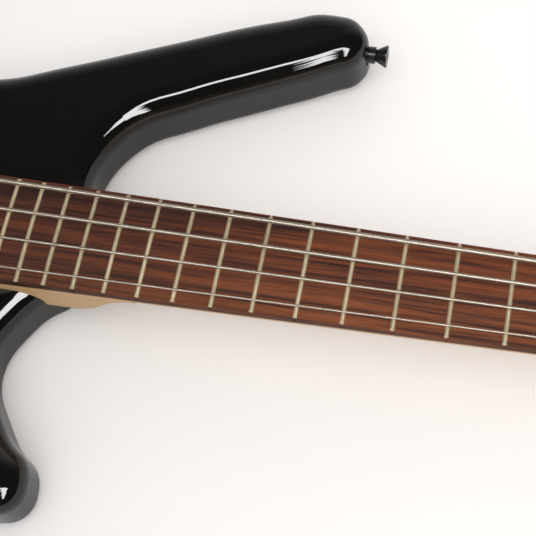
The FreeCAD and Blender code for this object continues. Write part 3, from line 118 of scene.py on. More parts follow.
class PlasticSettings(bpy.types.PropertyGroup):
    nut: colour("Nut", "Black of the nut at the headstock", (0.02, 0.02, 0.02))
    dots: colour("Dots", "White of the dots on the board's side", (0.72, 0.70, 0.66))
    pickup: colour("Pickup", "Black of the pickup covers", (0.010, 0.010, 0.010))
    knob: colour("Knob", "Black of the knobs", (0.012, 0.012, 0.012))
    cover: colour("Cover", "Black of the control and rod covers", (0.014, 0.014, 0.014))
    sheath: colour("Sheath", "Grey of the leads", (0.05, 0.05, 0.052))
    tape: colour("Tape", "Main colour of the taped coils", (0.16, 0.06, 0.03))
    tape_light: colour("Tape streaks", "Paler streaks of the taped coils", (0.26, 0.11, 0.05))
    # The colour deep in the cells is painted shade in the cell hollows
    foam: colour("Foam", "Colour deep in the foam's cells", (0.02, 0.02, 0.02))
    foam_light: colour("Foam walls", "Colour of the foam's cell walls", (0.07, 0.07, 0.07))


class StringSettings(bpy.types.PropertyGroup):
    wrap: length("Wrap pitch", "Distance from one wrap of the winding wire to the next", 0.0007)
    sides: IntProperty(
        name="Sides", description="Sides of a string's round section", default=14, min=6, max=48
    )


class StageSettings(bpy.types.PropertyGroup):
    table: colour("Table", "Colour of the pale table", (0.86, 0.842, 0.836))
    backdrop: colour(
        "Backdrop", "Colour that the camera sees beyond the table", (0.86, 0.845, 0.835)
    )
    table_lift: share(
        "Table lift", "How much the table is lifted towards white for the camera alone", 0.15
    )
    # Painted shade: the table is painted darker towards the tail, as if the light fell off there
    table_painted_falloff: share(
        "Table fall", "Share of its paleness that the table keeps towards the tail", 0.78
    )
    table_size: length("Table size", "Side of the table under the bass", 24.0)
    camera_place: FloatVectorProperty(
        name="Camera place", description="Where the camera stands",
        default=(0.494785, -0.235765, 0.62901), subtype="TRANSLATION", unit="LENGTH", size=3,
    )
    camera_right: heading(
        "Camera right", "Direction to the right in the picture", (0.97619, 0.19150, -0.10186)
    )
    camera_up: heading(
        "Camera up", "Direction upwards in the picture", (-0.13725, 0.90900, 0.39355)
    )
    lens: FloatProperty(
        name="Lens", description="Focal length of the camera", default=81.43, unit="CAMERA", min=1
    )
    mirror_power: power(
        "Mirror panels", "Power of each square metre of the panels that only show as mirror lines", 60
    )
    far_power: power("Far light", "Power of the broad light beyond the bass side", 4)
    tent_power: power("Tent light", "Power of the wide soft light over the table", 24)
    room: colour("Room", "Dim colour of the room that the lacquer mirrors", (0.046, 0.044, 0.041))
    glow: colour("Glow", "Brighter colour of the room beyond the bass side", (0.82, 0.80, 0.77))
    fill: colour("Fill", "Soft light that reaches the bass from all round", (0.70, 0.69, 0.675))


SETTINGS = {
    "bass_lacquer": LacquerSettings,
    "bass_wood": WoodSettings,
    "bass_metal": MetalSettings,
    "bass_plastic": PlasticSettings,
    "bass_strings": StringSettings,
    "bass_stage": StageSettings,
}


# Shader building blocks

# Nearly all values of a noise lie between these
NOISE_SPAN = (0.3, 0.7)

# A Mix node's own factor, and its sockets for colours among those for other kinds of data
MIX_FACTOR, MIX_FIRST, MIX_SECOND, MIX_RESULT = 0, 6, 7, 2

# The fine marks of handling are this many times closer than the cloudy ones
FINE_MARKS = 9.0


def feed(tree, socket, value):
    """Link a socket to the value if that is a socket too, and set it otherwise."""
    if isinstance(value, bpy.types.NodeSocket):
        tree.links.new(value, socket)
    elif socket.type == "RGBA":
        socket.default_value = (*value[:3], 1.0)
    else:
        socket.default_value = value


def node(tree, kind, inputs=None, **settings):
    made = tree.nodes.new(kind)
    for name, value in settings.items():
        setattr(made, name, value)
    for name, value in (inputs or {}).items():
        feed(tree, made.inputs[name], value)
    return made


def value_of(tree, operation, *numbers):
    return node(tree, "ShaderNodeMath", dict(enumerate(numbers)), operation=operation).outputs[0]


def weighed(tree, first, second, part):
    """One value made of two, of which the second has the given part."""
    return value_of(tree, "MULTIPLY_ADD", first, 1 - part, value_of(tree, "MULTIPLY", second, part))


def blend(tree, factor, first, second):
    made = node(tree, "ShaderNodeMix", data_type="RGBA")
    feed(tree, made.inputs[MIX_FACTOR], factor)
    feed(tree, made.inputs[MIX_FIRST], first)
    feed(tree, made.inputs[MIX_SECOND], second)
    return made.outputs[MIX_RESULT]


def between(tree, value, low, high, to_low=0.0, to_high=1.0):
    """Smooth step of a value that goes from low to high."""
    numbers = {
        "Value": value, "From Min": low, "From Max": high, "To Min": to_low, "To Max": to_high
    }
    return node(tree, "ShaderNodeMapRange", numbers, interpolation_type="SMOOTHSTEP").outputs[0]


def noise(tree, place, scale=1.0, detail=3.0, roughness=0.55, distortion=0.0):
    numbers = {
        "Vector": place, "Scale": scale, "Detail": detail,
        "Roughness": roughness, "Distortion": distortion,
    }
    return node(tree, "ShaderNodeTexNoise", numbers).outputs["Fac"]


def place_on(tree):
    """Place on the piece, in metres, in the frame of the whole bass."""
    return node(tree, "ShaderNodeTexCoord").outputs["Object"]


def split(tree, place):
    return node(tree, "ShaderNodeSeparateXYZ", {0: place}).outputs


def stretched(tree, along, across):
    """Place on the piece, scaled less along the strings so that marks run that way."""
    scale = node(tree, "ShaderNodeCombineXYZ", {"X": along, "Y": across, "Z": across}).outputs[0]
    numbers = {0: place_on(tree), 1: scale}
    return node(tree, "ShaderNodeVectorMath", numbers, operation="MULTIPLY").outputs[0]


def bump(tree, height, depth, strength=1.0):
    numbers = {"Height": height, "Distance": depth, "Strength": strength}
    return node(tree, "ShaderNodeBump", numbers).outputs[0]


def shader_group(name, inputs, outputs):
    group = bpy.data.node_groups.new(name, "ShaderNodeTree")
    for label, default in inputs.items():
        socket = group.interface.new_socket(label, in_out="INPUT", socket_type="NodeSocketFloat")
        socket.default_value = default
    for label in outputs:
        group.interface.new_socket(label, in_out="OUTPUT", socket_type="NodeSocketFloat")
    given = group.nodes.new("NodeGroupInput").outputs
    return group, given, group.nodes.new("NodeGroupOutput").inputs


def make_handling_marks():
    """Roughness and small height of a surface that has been polished and handled."""
    group, given, put = shader_group(
        "handling marks", {"Scale": 30.0, "Smooth": 0.1, "Worn": 0.3}, ["Roughness", "Height"]
    )
    fine_scale = value_of(group, "MULTIPLY", given["Scale"], FINE_MARKS)
    cloudy = noise(group, place_on(group), given["Scale"], detail=4.0, roughness=0.6)
    fine = noise(group, place_on(group), fine_scale, detail=2.0)
    both = weighed(group, cloudy, fine, part=0.3)
    polish = between(group, both, *NOISE_SPAN, given["Smooth"], given["Worn"])
    feed(group, put["Roughness"], polish)
    feed(group, put["Height"], fine)


def make_long_grain():
    """Streaks, fine lines and pores of wood whose grain runs along the strings."""
    group, given, put = shader_group(
        "long grain", {"Along": 8.0, "Across": 160.0, "Wander": 0.6}, ["Streaks", "Lines", "Pores"]
    )

    def finer(along, across):
        closer = value_of(group, "MULTIPLY", given["Along"], along)
        thinner = value_of(group, "MULTIPLY", given["Across"], across)
        return stretched(group, closer, thinner)

    broad = stretched(group, given["Along"], given["Across"])
    streaks = noise(group, broad, detail=4.0, roughness=0.6, distortion=given["Wander"])
    thin = finer(along=2.6, across=5.0)
    lines = noise(group, thin, detail=3.0, roughness=0.6, distortion=0.3)
    short = finer(along=22.0, across=16.0)
    pores = noise(group, short, detail=2.0, roughness=0.5)
    feed(group, put["Streaks"], streaks)
    feed(group, put["Lines"], lines)
    feed(group, put["Pores"], between(group, pores, low=0.60, high=0.72))


def use(tree, group, **numbers):
    made = node(tree, "ShaderNodeGroup", node_tree=bpy.data.node_groups[group])
    for name, value in numbers.items():
        feed(tree, made.inputs[name.capitalize()], value)
    return made.outputs


def material(name):
    made = bpy.data.materials.new(name)
    made.use_nodes = True
    tree = made.node_tree
    return made, tree, tree.nodes["Principled BSDF"].inputs


def shaded(tint, times):
    """The same colour, darker or lighter."""
    return [min(1.0, part * times) for part in tint]


def stained(tree, base, stain, value, none_at, full_at, part):
    """Base colour under a stain that grows with a value, up to the given part."""
    return blend(tree, between(tree, value, none_at, full_at, 0.0, part), base, stain)


def handled(name, tint, smooth, worn, metallic=0.0, scale=30.0, depth=0.00001, lift=1.35):
    """Finish of one colour that varies a little, with polish that varies too."""
    made, tree, surface = material(name)
    marks = use(tree, "handling marks", scale=scale, smooth=smooth, worn=worn)
    feed(tree, surface["Base Color"], blend(tree, marks["Height"], tint, shaded(tint, lift)))
    feed(tree, surface["Roughness"], marks["Roughness"])
    feed(tree, surface["Normal"], bump(tree, marks["Height"], depth))
    surface["Metallic"].default_value = metallic
    return made


def dress(finish, *names):
    for name in names:
        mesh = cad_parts[name].data
        mesh.materials.clear()
        mesh.materials.append(finish)


# Finishes of this bass

# Scale of the waves that are left in the lacquer
RIPPLE_SCALE = 60.0

# Orange wood of the board's treble edge, by the distance from that edge
ORANGE_FULL, ORANGE_NONE = -0.008, 0.018
ORANGE_SWAY = 0.016

# Painted shade on the board's side: how far the side starts under the board's highest line, and over
# what depth the painted shade darkens it
SIDE_SHADE_START = 0.0011
SIDE_SHADE_DEPTH = 0.0004

# The board darkens from the first of these to the second, along the strings
BODY_END = (0.45, 0.25)

# How strongly the board's open pores are stained
PORE_STAIN = 0.6

# Scale of the cells in the foam
FOAM_CELLS = 900.0


def black_lacquer(settings):
    made, tree, surface = material("black lacquer")
    marks = use(tree, "handling marks", scale=14.0, smooth=settings.polish, worn=settings.haze)
    black = blend(tree, marks["Height"], settings.black, shaded(settings.black, times=1.5))
    ripple = noise(tree, place_on(tree), RIPPLE_SCALE, detail=1.0)
    feed(tree, surface["Base Color"], black)
    feed(tree, surface["Roughness"], marks["Roughness"])
    feed(tree, surface["Normal"], bump(tree, ripple, settings.ripple))
    return made


def rosewood(settings):
    """Streaked wood that turns orange along the treble edge and darkens towards the body, with
    painted shade on the board's side.
    """
    made, tree, surface = material("rosewood")
    grain = use(tree, "long grain", along=9.0, across=300.0, wander=0.8)
    broad = stretched(tree, along=3.0, across=75.0)
    bands = noise(tree, broad, detail=2.0, roughness=0.5, distortion=0.6)
    place = split(tree, place_on(tree))
    low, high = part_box("fingerboard")

    # The treble edge runs straight from the board's wide end to the nut
    slope = (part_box("nut")[0].y - low.y) / (high.x - low.x)
    edge = value_of(tree, "MULTIPLY_ADD", place["X"], slope, low.y - slope * low.x)
    inside = value_of(tree, "SUBTRACT", place["Y"], edge)
    wavy = value_of(tree, "MULTIPLY_ADD", bands, -ORANGE_SWAY, inside)
    orange = between(tree, wavy, ORANGE_NONE, ORANGE_FULL)
    wood = blend(tree, orange, settings.rosewood, settings.rosewood_edge)

    dark = settings.rosewood_dark_and_shade
    streaks = weighed(tree, grain["Streaks"], bands, part=0.38)
    pores = value_of(tree, "MULTIPLY", grain["Pores"], PORE_STAIN)
    side = high.z - SIDE_SHADE_START
    wood = stained(tree, wood, dark, streaks, none_at=0.40, full_at=0.60, part=0.92)
    wood = stained(tree, wood, dark, grain["Lines"], none_at=0.50, full_at=0.68, part=0.55)
    wood = blend(tree, pores, wood, dark)
    # Painted shade: the board's side is darkened as if it lay in shade
    wood = stained(tree, wood, dark, place["Z"], none_at=side, full_at=side - SIDE_SHADE_DEPTH, part=0.55)
    wood = stained(tree, wood, dark, place["X"], *BODY_END, part=0.52)
    polish = between(tree, grain["Lines"], *NOISE_SPAN, to_low=0.42, to_high=0.58)
    feed(tree, surface["Base Color"], wood)
    feed(tree, surface["Roughness"], polish)
    feed(tree, surface["Normal"], bump(tree, grain["Pores"], depth=-0.0001, strength=0.6))
    surface["Specular IOR Level"].default_value = 0.14
    return made


def maple(settings):
    made, tree, surface = material("satin maple")
    grain = use(tree, "long grain", along=5.0, across=90.0, wander=0.5)
    wood, line = settings.maple, settings.maple_line
    wood = stained(tree, wood, line, grain["Streaks"], none_at=0.4, full_at=0.7, part=0.55)
    wood = stained(tree, wood, line, grain["Lines"], none_at=0.5, full_at=0.75, part=0.3)
    polish = between(tree, grain["Lines"], *NOISE_SPAN, to_low=0.40, to_high=0.52)
    feed(tree, surface["Base Color"], wood)
    feed(tree, surface["Roughness"], polish)
    feed(tree, surface["Normal"], bump(tree, grain["Lines"], depth=0.00002, strength=0.5))
    return made


def string_steel(settings, wrap):
    """Steel with a ridge for each wrap, counted by the run along the string, and painted shade in the
    grooves between the wraps.
    """
    made, tree, surface = material("wound string steel")
    run = node(tree, "ShaderNodeAttribute", attribute_name="wrap_run").outputs["Fac"]
    ridge = value_of(tree, "SINE", value_of(tree, "MULTIPLY", run, 2 * math.pi / wrap))
    marks = use(tree, "handling marks", scale=20.0, smooth=0.42, worn=0.50)
    # Painted shade: the steel is darker in the grooves between the wraps
    groove_shade = shaded(settings.string, times=0.55)
    steel = blend(tree, between(tree, ridge, low=-1.0, high=0.2), groove_shade, settings.string)
    feed(tree, surface["Base Color"], steel)
    feed(tree, surface["Roughness"], marks["Roughness"])
    feed(tree, surface["Normal"], bump(tree, ridge, depth=0.00002, strength=0.15))
    surface["Metallic"].default_value = 0.96
    return made


def coil_tape(settings):
    made, tree, surface = material("taped coil")
    grain = use(tree, "long grain", along=40.0, across=60.0, wander=0.2)
    polish = between(tree, grain["Lines"], *NOISE_SPAN, to_low=0.45, to_high=0.65)
    tape = blend(tree, grain["Streaks"], settings.tape, settings.tape_light)
    feed(tree, surface["Base Color"], tape)
    feed(tree, surface["Roughness"], polish)
    return made


def foam_pad(settings):
    made, tree, surface = material("foam pad")
    numbers = {"Vector": place_on(tree), "Scale": FOAM_CELLS}
    cells = node(tree, "ShaderNodeTexVoronoi", numbers).outputs["Distance"]
    # Painted shade: the colour is darker deep in each cell, where the hollow lies in shade
    feed(tree, surface["Base Color"], blend(tree, cells, settings.foam, settings.foam_light))
    feed(tree, surface["Normal"], bump(tree, cells, depth=0.0003, strength=0.7))
    surface["Roughness"].default_value = 0.9
    return made


# Wound strings

# Place in string spacings from the middle, gauge, how far the post stands from the nut and
# from the middle of the headstock, and its side, 1 for the bass side
STRINGS = {
    "e": (1.5, 0.0026, 0.052, 0.020, 1),
    "a": (0.5, 0.0021, 0.106, 0.017, 1),
    "d": (-0.5, 0.0016, 0.106, 0.017, -1),
    "g": (-1.5, 0.0011, 0.052, 0.020, -1),
}

# The strings' route in metres, the same as that of the plain strings they replace
SCALE_LENGTH = 0.8636
NUT_THICK = 0.005
BRIDGE_SPACING, NUT_SPACING = 0.019, 0.0098
BALL_X, BALL_Z = -0.0355, 0.0504
SADDLE_TOP, NUT_TOP = 0.0583, 0.0543
CAMBER_RADIUS = 0.508
BEND_RADIUS, BEND_STEPS = 0.010, 10

# The headstock's face starts behind the nut at this height and leans back
HEAD_Z = 0.0471
HEAD_LEAN = math.radians(5)

# Turns round a post: inner radius, height of the first one, gap, number, points in all of them
COIL_RADIUS = 0.0045
COIL_START = 0.0031
COIL_GAP = 0.0005
COIL_TURNS = 2.25
COIL_STEPS = 90

# The last stretch before the turns, which curves gently into them
LEAD_LENGTH, LEAD_STEPS = 0.009, 10

# Half section of a ball end: place along the string and radius
BALL_SECTION = (
    (-0.0025, 0.0022), (-0.0024, 0.0028), (-0.0021, 0.0031),
    (0.0021, 0.0031), (0.0024, 0.0028), (0.0025, 0.0022),
)


def camber_drop(y):
    return CAMBER_RADIUS - math.sqrt(CAMBER_RADIUS ** 2 - y ** 2)


def arc_round(before, corner, after):
    """Points of the arc that rounds a corner of a string's run."""
    arrive = (corner - before).normalized()
    leave = (after - corner).normalized()
    turn = arrive.angle(leave)
    axis = arrive.cross(leave).normalized()
    start = corner - arrive * (BEND_RADIUS * math.tan(turn / 2))
    centre = start + axis.cross(arrive) * BEND_RADIUS
    spoke = start - centre
    angles = [turn * step / BEND_STEPS for step in range(BEND_STEPS + 1)]
    return [centre + Matrix.Rotation(angle, 3, axis) @ spoke for angle in angles]


def eased(start, leave, end, arrive):
    """Points of a gentle curve that leaves and arrives along two headings."""
    reach = (end - start).length
    points = []
    for step in range(1, LEAD_STEPS):
        t = step / LEAD_STEPS
        points.append(
            start * (2 * t ** 3 - 3 * t ** 2 + 1) + leave * (reach * (t ** 3 - 2 * t ** 2 + t))
            + end * (3 * t ** 2 - 2 * t ** 3) + arrive * (reach * (t ** 3 - t ** 2))
        )
    return points


def string_line(name):
    """Run of a string from its ball, over saddle and nut, and round its post."""
    place, gauge, post_reach, post_offset, side = STRINGS[name]
    saddle_y, nut_y = place * BRIDGE_SPACING, place * NUT_SPACING
    ball = Vector((BALL_X, saddle_y, BALL_Z))
    saddle = Vector((0, saddle_y, SADDLE_TOP - camber_drop(saddle_y) + gauge / 2))
    nut_front = Vector((SCALE_LENGTH, nut_y, NUT_TOP - camber_drop(nut_y) + gauge / 2))
    past_front = (SCALE_LENGTH + NUT_THICK / 2) / SCALE_LENGTH
    over_nut = saddle + (nut_front - saddle) * past_front

    head = Matrix.Translation((SCALE_LENGTH + NUT_THICK, 0, HEAD_Z))
    head = head @ Matrix.Rotation(HEAD_LEAN, 4, "Y")
    start = head.inverted() @ over_nut
    post = Vector((post_reach, side * post_offset, 0))
    toward = Vector((post.x - start.x, post.y - start.y, 0))
    radius = COIL_RADIUS + gauge / 2
    first = math.atan2(toward.y, toward.x) - side * math.asin(radius / toward.length)
    first -= side * math.pi / 2
    coil = []
    for step in range(COIL_STEPS + 1):
        turned = COIL_TURNS * step / COIL_STEPS
        angle = first + side * 2 * math.pi * turned
        height = COIL_START + gauge / 2 + (gauge + COIL_GAP) * turned
        spoke = Vector((math.cos(angle) * radius, math.sin(angle) * radius, height))
        coil.append(head @ (post + spoke))

    inbound = (coil[0] - over_nut).normalized()
    lead = coil[0] - inbound * LEAD_LENGTH
    line = [ball, *arc_round(ball, saddle, over_nut), *arc_round(saddle, over_nut, lead), lead]
    return line + eased(lead, inbound, coil[0], (coil[1] - coil[0]).normalized()) + coil


def mesh_piece(name, points, faces, finish):
    mesh = bpy.data.meshes.new(name)
    mesh.from_pydata(points, [], faces)
    mesh.polygons.foreach_set("use_smooth", [True] * len(mesh.polygons))
    mesh.materials.append(finish)
    piece = bpy.data.objects.new(name, mesh)
    bpy.context.scene.collection.objects.link(piece)
    return piece


def swept(line, radii, sides):
    """Points and faces of a round bar with a ring at each point of a line, closed at both ends."""
    points, faces = [], []
    ahead = (line[1] - line[0]).normalized()
    across = ahead.orthogonal().normalized()
    for index, centre in enumerate(line):
        before, after = line[max(index - 1, 0)], line[min(index + 1, len(line) - 1)]
        onward = (after - before).normalized()
        across = (ahead.rotation_difference(onward) @ across).normalized()
        ahead = onward
        aside = ahead.cross(across)
        for corner in range(sides):
            angle = 2 * math.pi * corner / sides
            spoke = across * math.cos(angle) + aside * math.sin(angle)
            points.append(centre + spoke * radii[index])
    for ring in range(len(line) - 1):
        low, high = ring * sides, (ring + 1) * sides
        for corner in range(sides):
            after = (corner + 1) % sides
            faces.append((low + corner, low + after, high + after, high + corner))
    faces.append(tuple(reversed(range(sides))))
    faces.append(tuple(range((len(line) - 1) * sides, len(line) * sides)))
    return points, faces


def wind_string(name, finish, sides):
    """A string with its ball end, which carries the run along it for the wraps."""
    gauge = STRINGS[name][1]
    line = string_line(name)
    points, faces = swept(line, [gauge / 2] * len(line), sides)
    runs, run = [], 0.0
    for index, centre in enumerate(line):
        run += (centre - line[index - 1]).length if index else 0.0
        runs += [run] * sides
    ball_line = [line[0] + Vector((x, 0, 0)) for x, radius in BALL_SECTION]
    ball_points, ball_faces = swept(ball_line, [radius for x, radius in BALL_SECTION], 2 * sides)
    faces += [tuple(index + len(points) for index in face) for face in ball_faces]
    points += ball_points
    runs += [0.0] * len(ball_points)
    piece = mesh_piece(f"wound_string_{name}", points, faces, finish)
    piece.data.attributes.new("wrap_run", "FLOAT", "POINT").data.foreach_set("value", runs)
    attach(piece, "instrument")
    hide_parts(f"string_{name}")


# Stage

# The table lies this far under the flat back
TABLE_GAP = 0.0003

# Painted shade: the table dims from the first of these to the second, along a line that leans across
# the strings
TABLE_SHADE_SPAN = (0.55, -0.1)
TABLE_SHADE_LEAN = 0.6

# Panels that the lacquer mirrors, as size and place: a strip along the strings, then steps that
# lead away to the treble side beyond the headstock
MIRROR_PANELS = (
    ((2.3, 0.26), (0.45, -0.485, 1.65)),
    ((1.00, 0.52), (1.50, -0.640, 1.65)),
    ((0.80, 0.60), (1.70, -1.200, 1.65)),
    ((0.58, 0.60), (1.91, -1.800, 1.65)),
    ((0.40, 0.70), (2.18, -2.450, 1.65)),
)

# Lights that nothing mirrors, as size, place and aim
FAR_LIGHT = ((1.8, 0.8), (0.2, 1.9, 1.2), (0.35, 0.0, 0.0))
TENT_LIGHT = ((2.6, 2.6), (0.85, -0.65, 2.0), (0.55, 0.15, 0.0))

# The mirrored room starts to glow at the first of these and glows fully at the second, by how far
# a direction points to the bass side
GLOW_FROM, GLOW_TO = 0.2, 0.98
GLOW_RISE = 2.7

# Width of the camera's sensor in millimetres
SENSOR_WIDTH = 36.0


def lay_table(settings):
    """A pale table with painted shade that dims it towards the tail; it keeps the shadow of the bass.
    """
    paper, tree, surface = material("pale table")
    marks = use(tree, "handling marks", scale=3.0, smooth=0.75, worn=0.9)
    duller = shaded(settings.table, times=0.985)
    pale = blend(tree, marks["Roughness"], settings.table, duller)
    place = split(tree, place_on(tree))
    along = value_of(tree, "MULTIPLY_ADD", place["Y"], TABLE_SHADE_LEAN, place["X"])
    # Painted shade: a darker copy of the table's colour, blended in towards the tail
    dim = shaded(settings.table, settings.table_painted_falloff)
    pale = blend(tree, between(tree, along, *TABLE_SHADE_SPAN), pale, dim)
    seen = node(tree, "ShaderNodeLightPath").outputs["Is Camera Ray"]
    lift = value_of(tree, "MULTIPLY", seen, settings.table_lift)
    feed(tree, surface["Base Color"], pale)
    feed(tree, surface["Roughness"], marks["Roughness"])
    feed(tree, surface["Emission Color"], settings.table)
    feed(tree, surface["Emission Strength"], lift)
    half = settings.table_size / 2
    sides = ((-half, -half), (half, -half), (half, half), (-half, half))
    corners = [(x, y, -TABLE_GAP) for x, y in sides]
    mesh_piece("pale_table", corners, [(0, 1, 2, 3)], paper)


def softbox(name, watts, size, place, aim):
    lamp = bpy.data.lights.new(name, "AREA")
    lamp.shape = "RECTANGLE"
    lamp.size, lamp.size_y = size
    lamp.energy = watts
    stand = bpy.data.objects.new(name, lamp)
    stand.location = place
    stand.rotation_euler = (Vector(aim) - Vector(place)).to_track_quat("-Z", "Y").to_euler()
    bpy.context.scene.collection.objects.link(stand)
    return stand


def hang_lights(settings):
    for number, (size, place) in enumerate(MIRROR_PANELS):
        watts = settings.mirror_power * size[0] * size[1]
        straight_down = (place[0], place[1], 0.0)
        panel = softbox(f"mirror panel {number}", watts, size, place, straight_down)
        panel.visible_diffuse = False
    far = softbox("far light", settings.far_power, *FAR_LIGHT)
    tent = softbox("tent light", settings.tent_power, *TENT_LIGHT)
    far.visible_glossy = tent.visible_glossy = False


def make_studio(settings):
    """Even light all round, a dim room with a glow for the lacquer, a backdrop for the camera."""
    world = bpy.data.worlds.new("studio")
    world.use_nodes = True
    sky = world.node_tree
    path = node(sky, "ShaderNodeLightPath").outputs
    direction = split(sky, node(sky, "ShaderNodeTexCoord").outputs["Generated"])
    numbers = {"Value": direction["Y"], "From Min": GLOW_FROM, "From Max": GLOW_TO}
    toward = node(sky, "ShaderNodeMapRange", numbers).outputs[0]
    mirrored = blend(sky, value_of(sky, "POWER", toward, GLOW_RISE), settings.room, settings.glow)
    around = blend(sky, path["Is Glossy Ray"], settings.fill, mirrored)
    around = blend(sky, path["Is Camera Ray"], around, settings.backdrop)
    feed(sky, sky.nodes["Background"].inputs["Color"], around)
    return world


def make_camera(settings):
    camera = bpy.data.cameras.new("camera")
    camera.lens = settings.lens
    camera.sensor_width = SENSOR_WIDTH
    stand = bpy.data.objects.new("camera", camera)
    right = Vector(settings.camera_right).normalized()
    up = Vector(settings.camera_up).normalized()
    turned = Matrix((right, up, right.cross(up))).transposed().to_4x4()
    stand.matrix_world = Matrix.Translation(settings.camera_place) @ turned
    bpy.context.scene.collection.objects.link(stand)
    return stand


# Operators

class BASS_OT_body(bpy.types.Operator):
    """Lacquer the body"""
    bl_idname = "bass.body"
    bl_label = "Lacquer the body"

    def execute(self, context):
        dress(black_lacquer(context.scene.bass_lacquer), "body")
        return {"FINISHED"}


class BASS_OT_neck(bpy.types.Operator):
    """Finish the neck, the board with its frets and dots, the nut and the rod"""
    bl_idname = "bass.neck"
    bl_label = "Finish the neck and board"

    def execute(self, context):
        scene = context.scene
        wood, metal, plastic = scene.bass_wood, scene.bass_metal, scene.bass_plastic
        frets = handled(
            "fret metal", metal.fret, smooth=0.28, worn=0.38,
            metallic=0.75, scale=20.0, depth=0.000002, lift=1.1,
        )
        rod = handled("rod steel", metal.steel, smooth=0.25, worn=0.45, metallic=1.0)
        dress(maple(wood), "neck")
        dress(rosewood(wood), "fingerboard")
        dress(frets, "frets")
        dress(handled("white dots", plastic.dots, smooth=0.3, worn=0.4), "side_dots")
        dress(handled("black nut", plastic.nut, smooth=0.25, worn=0.4), "nut")
        dress(rod, "truss_rod", "truss_rod_nut")
        return {"FINISHED"}


class BASS_OT_strings(bpy.types.Operator):
    """Wind the four strings from their balls to their posts"""
    bl_idname = "bass.strings"
    bl_label = "Wind the strings"

    def execute(self, context):
        settings = context.scene.bass_strings
        finish = string_steel(context.scene.bass_metal, settings.wrap)
        for name in STRINGS:
            wind_string(name, finish, settings.sides)
        return {"FINISHED"}


class BASS_OT_bridge(bpy.types.Operator):
    """Plate the bridge, its saddles and its screws"""
    bl_idname = "bass.bridge"
    bl_label = "Plate the bridge"

    def execute(self, context):
        metal = context.scene.bass_metal
        plating = metal.black_plating
        base = handled("black bridge plating", plating, smooth=0.14, worn=0.26, scale=60.0)
        saddle = handled("black saddle plating", plating, smooth=0.18, worn=0.32, scale=90.0)
        oxide = handled(
            "black oxide", metal.black_oxide, smooth=0.3, worn=0.5, metallic=0.6, scale=120.0
        )
        dress(base, "bridge_base")
        dress(oxide, "bridge_screws")
        for name in STRINGS:
            dress(saddle, f"saddle_{name}")
            dress(oxide, f"height_screws_{name}", f"intonation_screw_{name}")
        return {"FINISHED"}


class BASS_OT_pickups(bpy.types.Operator):
    """Finish the pickups and what lies under them"""
    bl_idname = "bass.pickups"
    bl_label = "Finish the pickups"

    def execute(self, context):
        plastic = context.scene.bass_plastic
        cover = handled("pickup plastic", plastic.pickup, smooth=0.32, worn=0.48, scale=60.0)
        dress(cover, "pickup_cover_neck", "pickup_cover_bridge")
        dress(coil_tape(plastic), "pickup_coils")
        dress(foam_pad(plastic), "pickup_foams")
        return {"FINISHED"}


class BASS_OT_controls(bpy.types.Operator):
    """Finish the knobs, controls, jack and leads"""
    bl_idname = "bass.controls"
    bl_label = "Finish the controls"

    def execute(self, context):
        metal, plastic = context.scene.bass_metal, context.scene.bass_plastic
        knob = handled("satin knob black", plastic.knob, smooth=0.28, worn=0.42, scale=120.0)
        steel = handled("control steel", metal.steel, smooth=0.28, worn=0.45, metallic=1.0)
        jack = handled("black jack plating", metal.black_plating, smooth=0.18, worn=0.3)
        sheath = handled("grey lead sheath", plastic.sheath, smooth=0.5, worn=0.65)
        dress(knob, "knob_volume_neck", "knob_volume_bridge", "knob_tone")
        dress(steel, "pot_casings", "pot_nuts", "jack_nut")
        dress(jack, "output_jack")
        dress(sheath, "wiring")
        return {"FINISHED"}


class BASS_OT_tuners(bpy.types.Operator):
    """Plate the tuners and leave their gears in bare brass"""
    bl_idname = "bass.tuners"
    bl_label = "Plate the tuners"

    def execute(self, context):
        metal = context.scene.bass_metal
        plated = handled(
            "black tuner plating", metal.black_plating, smooth=0.12, worn=0.24, scale=60.0
        )
        brass = handled(
            "bare brass", metal.brass, smooth=0.25, worn=0.4, metallic=1.0, scale=120.0
        )
        dress(plated, "tuner_plates", "tuner_bushings")
        for name in STRINGS:
            dress(plated, f"tuner_post_{name}", f"tuner_key_{name}")
            dress(brass, f"tuner_gear_{name}")
        return {"FINISHED"}


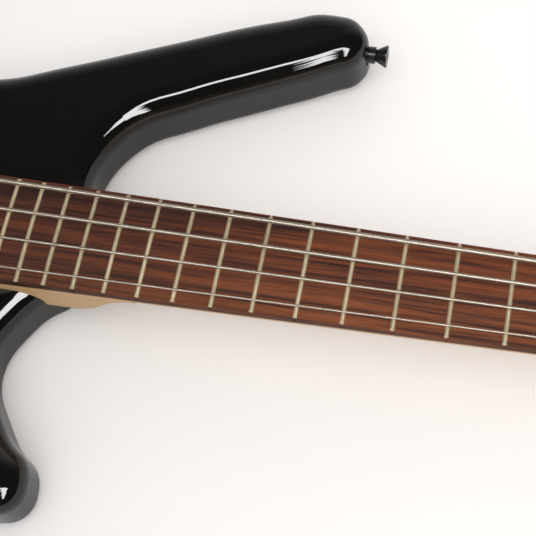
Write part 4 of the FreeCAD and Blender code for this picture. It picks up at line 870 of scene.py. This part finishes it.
class BASS_OT_fastenings(bpy.types.Operator):
    """Finish the covers, strap buttons, ferrules and screws"""
    bl_idname = "bass.fastenings"
    bl_label = "Finish the covers and fastenings"

    def execute(self, context):
        metal, plastic = context.scene.bass_metal, context.scene.bass_plastic
        cover = handled("cover plastic", plastic.cover, smooth=0.38, worn=0.52, scale=50.0)
        button = handled(
            "strap button plating", metal.black_plating, smooth=0.2, worn=0.34, scale=90.0
        )
        screws = handled(
            "black screws", metal.black_oxide, smooth=0.3, worn=0.5, metallic=0.6, scale=120.0
        )
        dress(cover, "control_cover", "truss_rod_cover")
        dress(button, "strap_buttons", "neck_ferrules")
        dress(screws, "neck_screws", "strap_button_screws", "pickup_screws", "plate_screws")
        return {"FINISHED"}


class BASS_OT_stage(bpy.types.Operator):
    """Lay the bass on a pale table, light it and set the camera"""
    bl_idname = "bass.stage"
    bl_label = "Set the stage"

    def execute(self, context):
        scene, settings = context.scene, context.scene.bass_stage
        lay_table(settings)
        hang_lights(settings)
        scene.world = make_studio(settings)
        scene.camera = make_camera(settings)
        scene.view_settings.view_transform = "Standard"
        return {"FINISHED"}


STEPS = (
    BASS_OT_body,
    BASS_OT_neck,
    BASS_OT_strings,
    BASS_OT_bridge,
    BASS_OT_pickups,
    BASS_OT_controls,
    BASS_OT_tuners,
    BASS_OT_fastenings,
    BASS_OT_stage,
)


class BASS_PT_looks(bpy.types.Panel):
    """Steps that give the bass its looks"""
    bl_label = "Electric bass"
    bl_idname = "BASS_PT_looks"
    bl_space_type = "VIEW_3D"
    bl_region_type = "UI"
    bl_category = "Bass"

    def draw(self, context):
        for step in STEPS:
            self.layout.operator(step.bl_idname)
        for name, kind in SETTINGS.items():
            group = getattr(context.scene, name)
            box = self.layout.box()
            for field in kind.__annotations__:
                box.prop(group, field)


CLASSES = (*SETTINGS.values(), *STEPS, BASS_PT_looks)


def register():
    for kind in CLASSES:
        bpy.utils.register_class(kind)
    for name, kind in SETTINGS.items():
        setattr(bpy.types.Scene, name, PointerProperty(type=kind))


def unregister():
    for name in SETTINGS:
        delattr(bpy.types.Scene, name)
    for kind in reversed(CLASSES):
        bpy.utils.unregister_class(kind)


def main():
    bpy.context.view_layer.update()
    register()
    make_handling_marks()
    make_long_grain()
    bpy.ops.bass.body()
    bpy.ops.bass.neck()
    bpy.ops.bass.strings()
    bpy.ops.bass.bridge()
    bpy.ops.bass.pickups()
    bpy.ops.bass.controls()
    bpy.ops.bass.tuners()
    bpy.ops.bass.fastenings()
    bpy.ops.bass.stage()


if __name__ == "__main__":
    main()
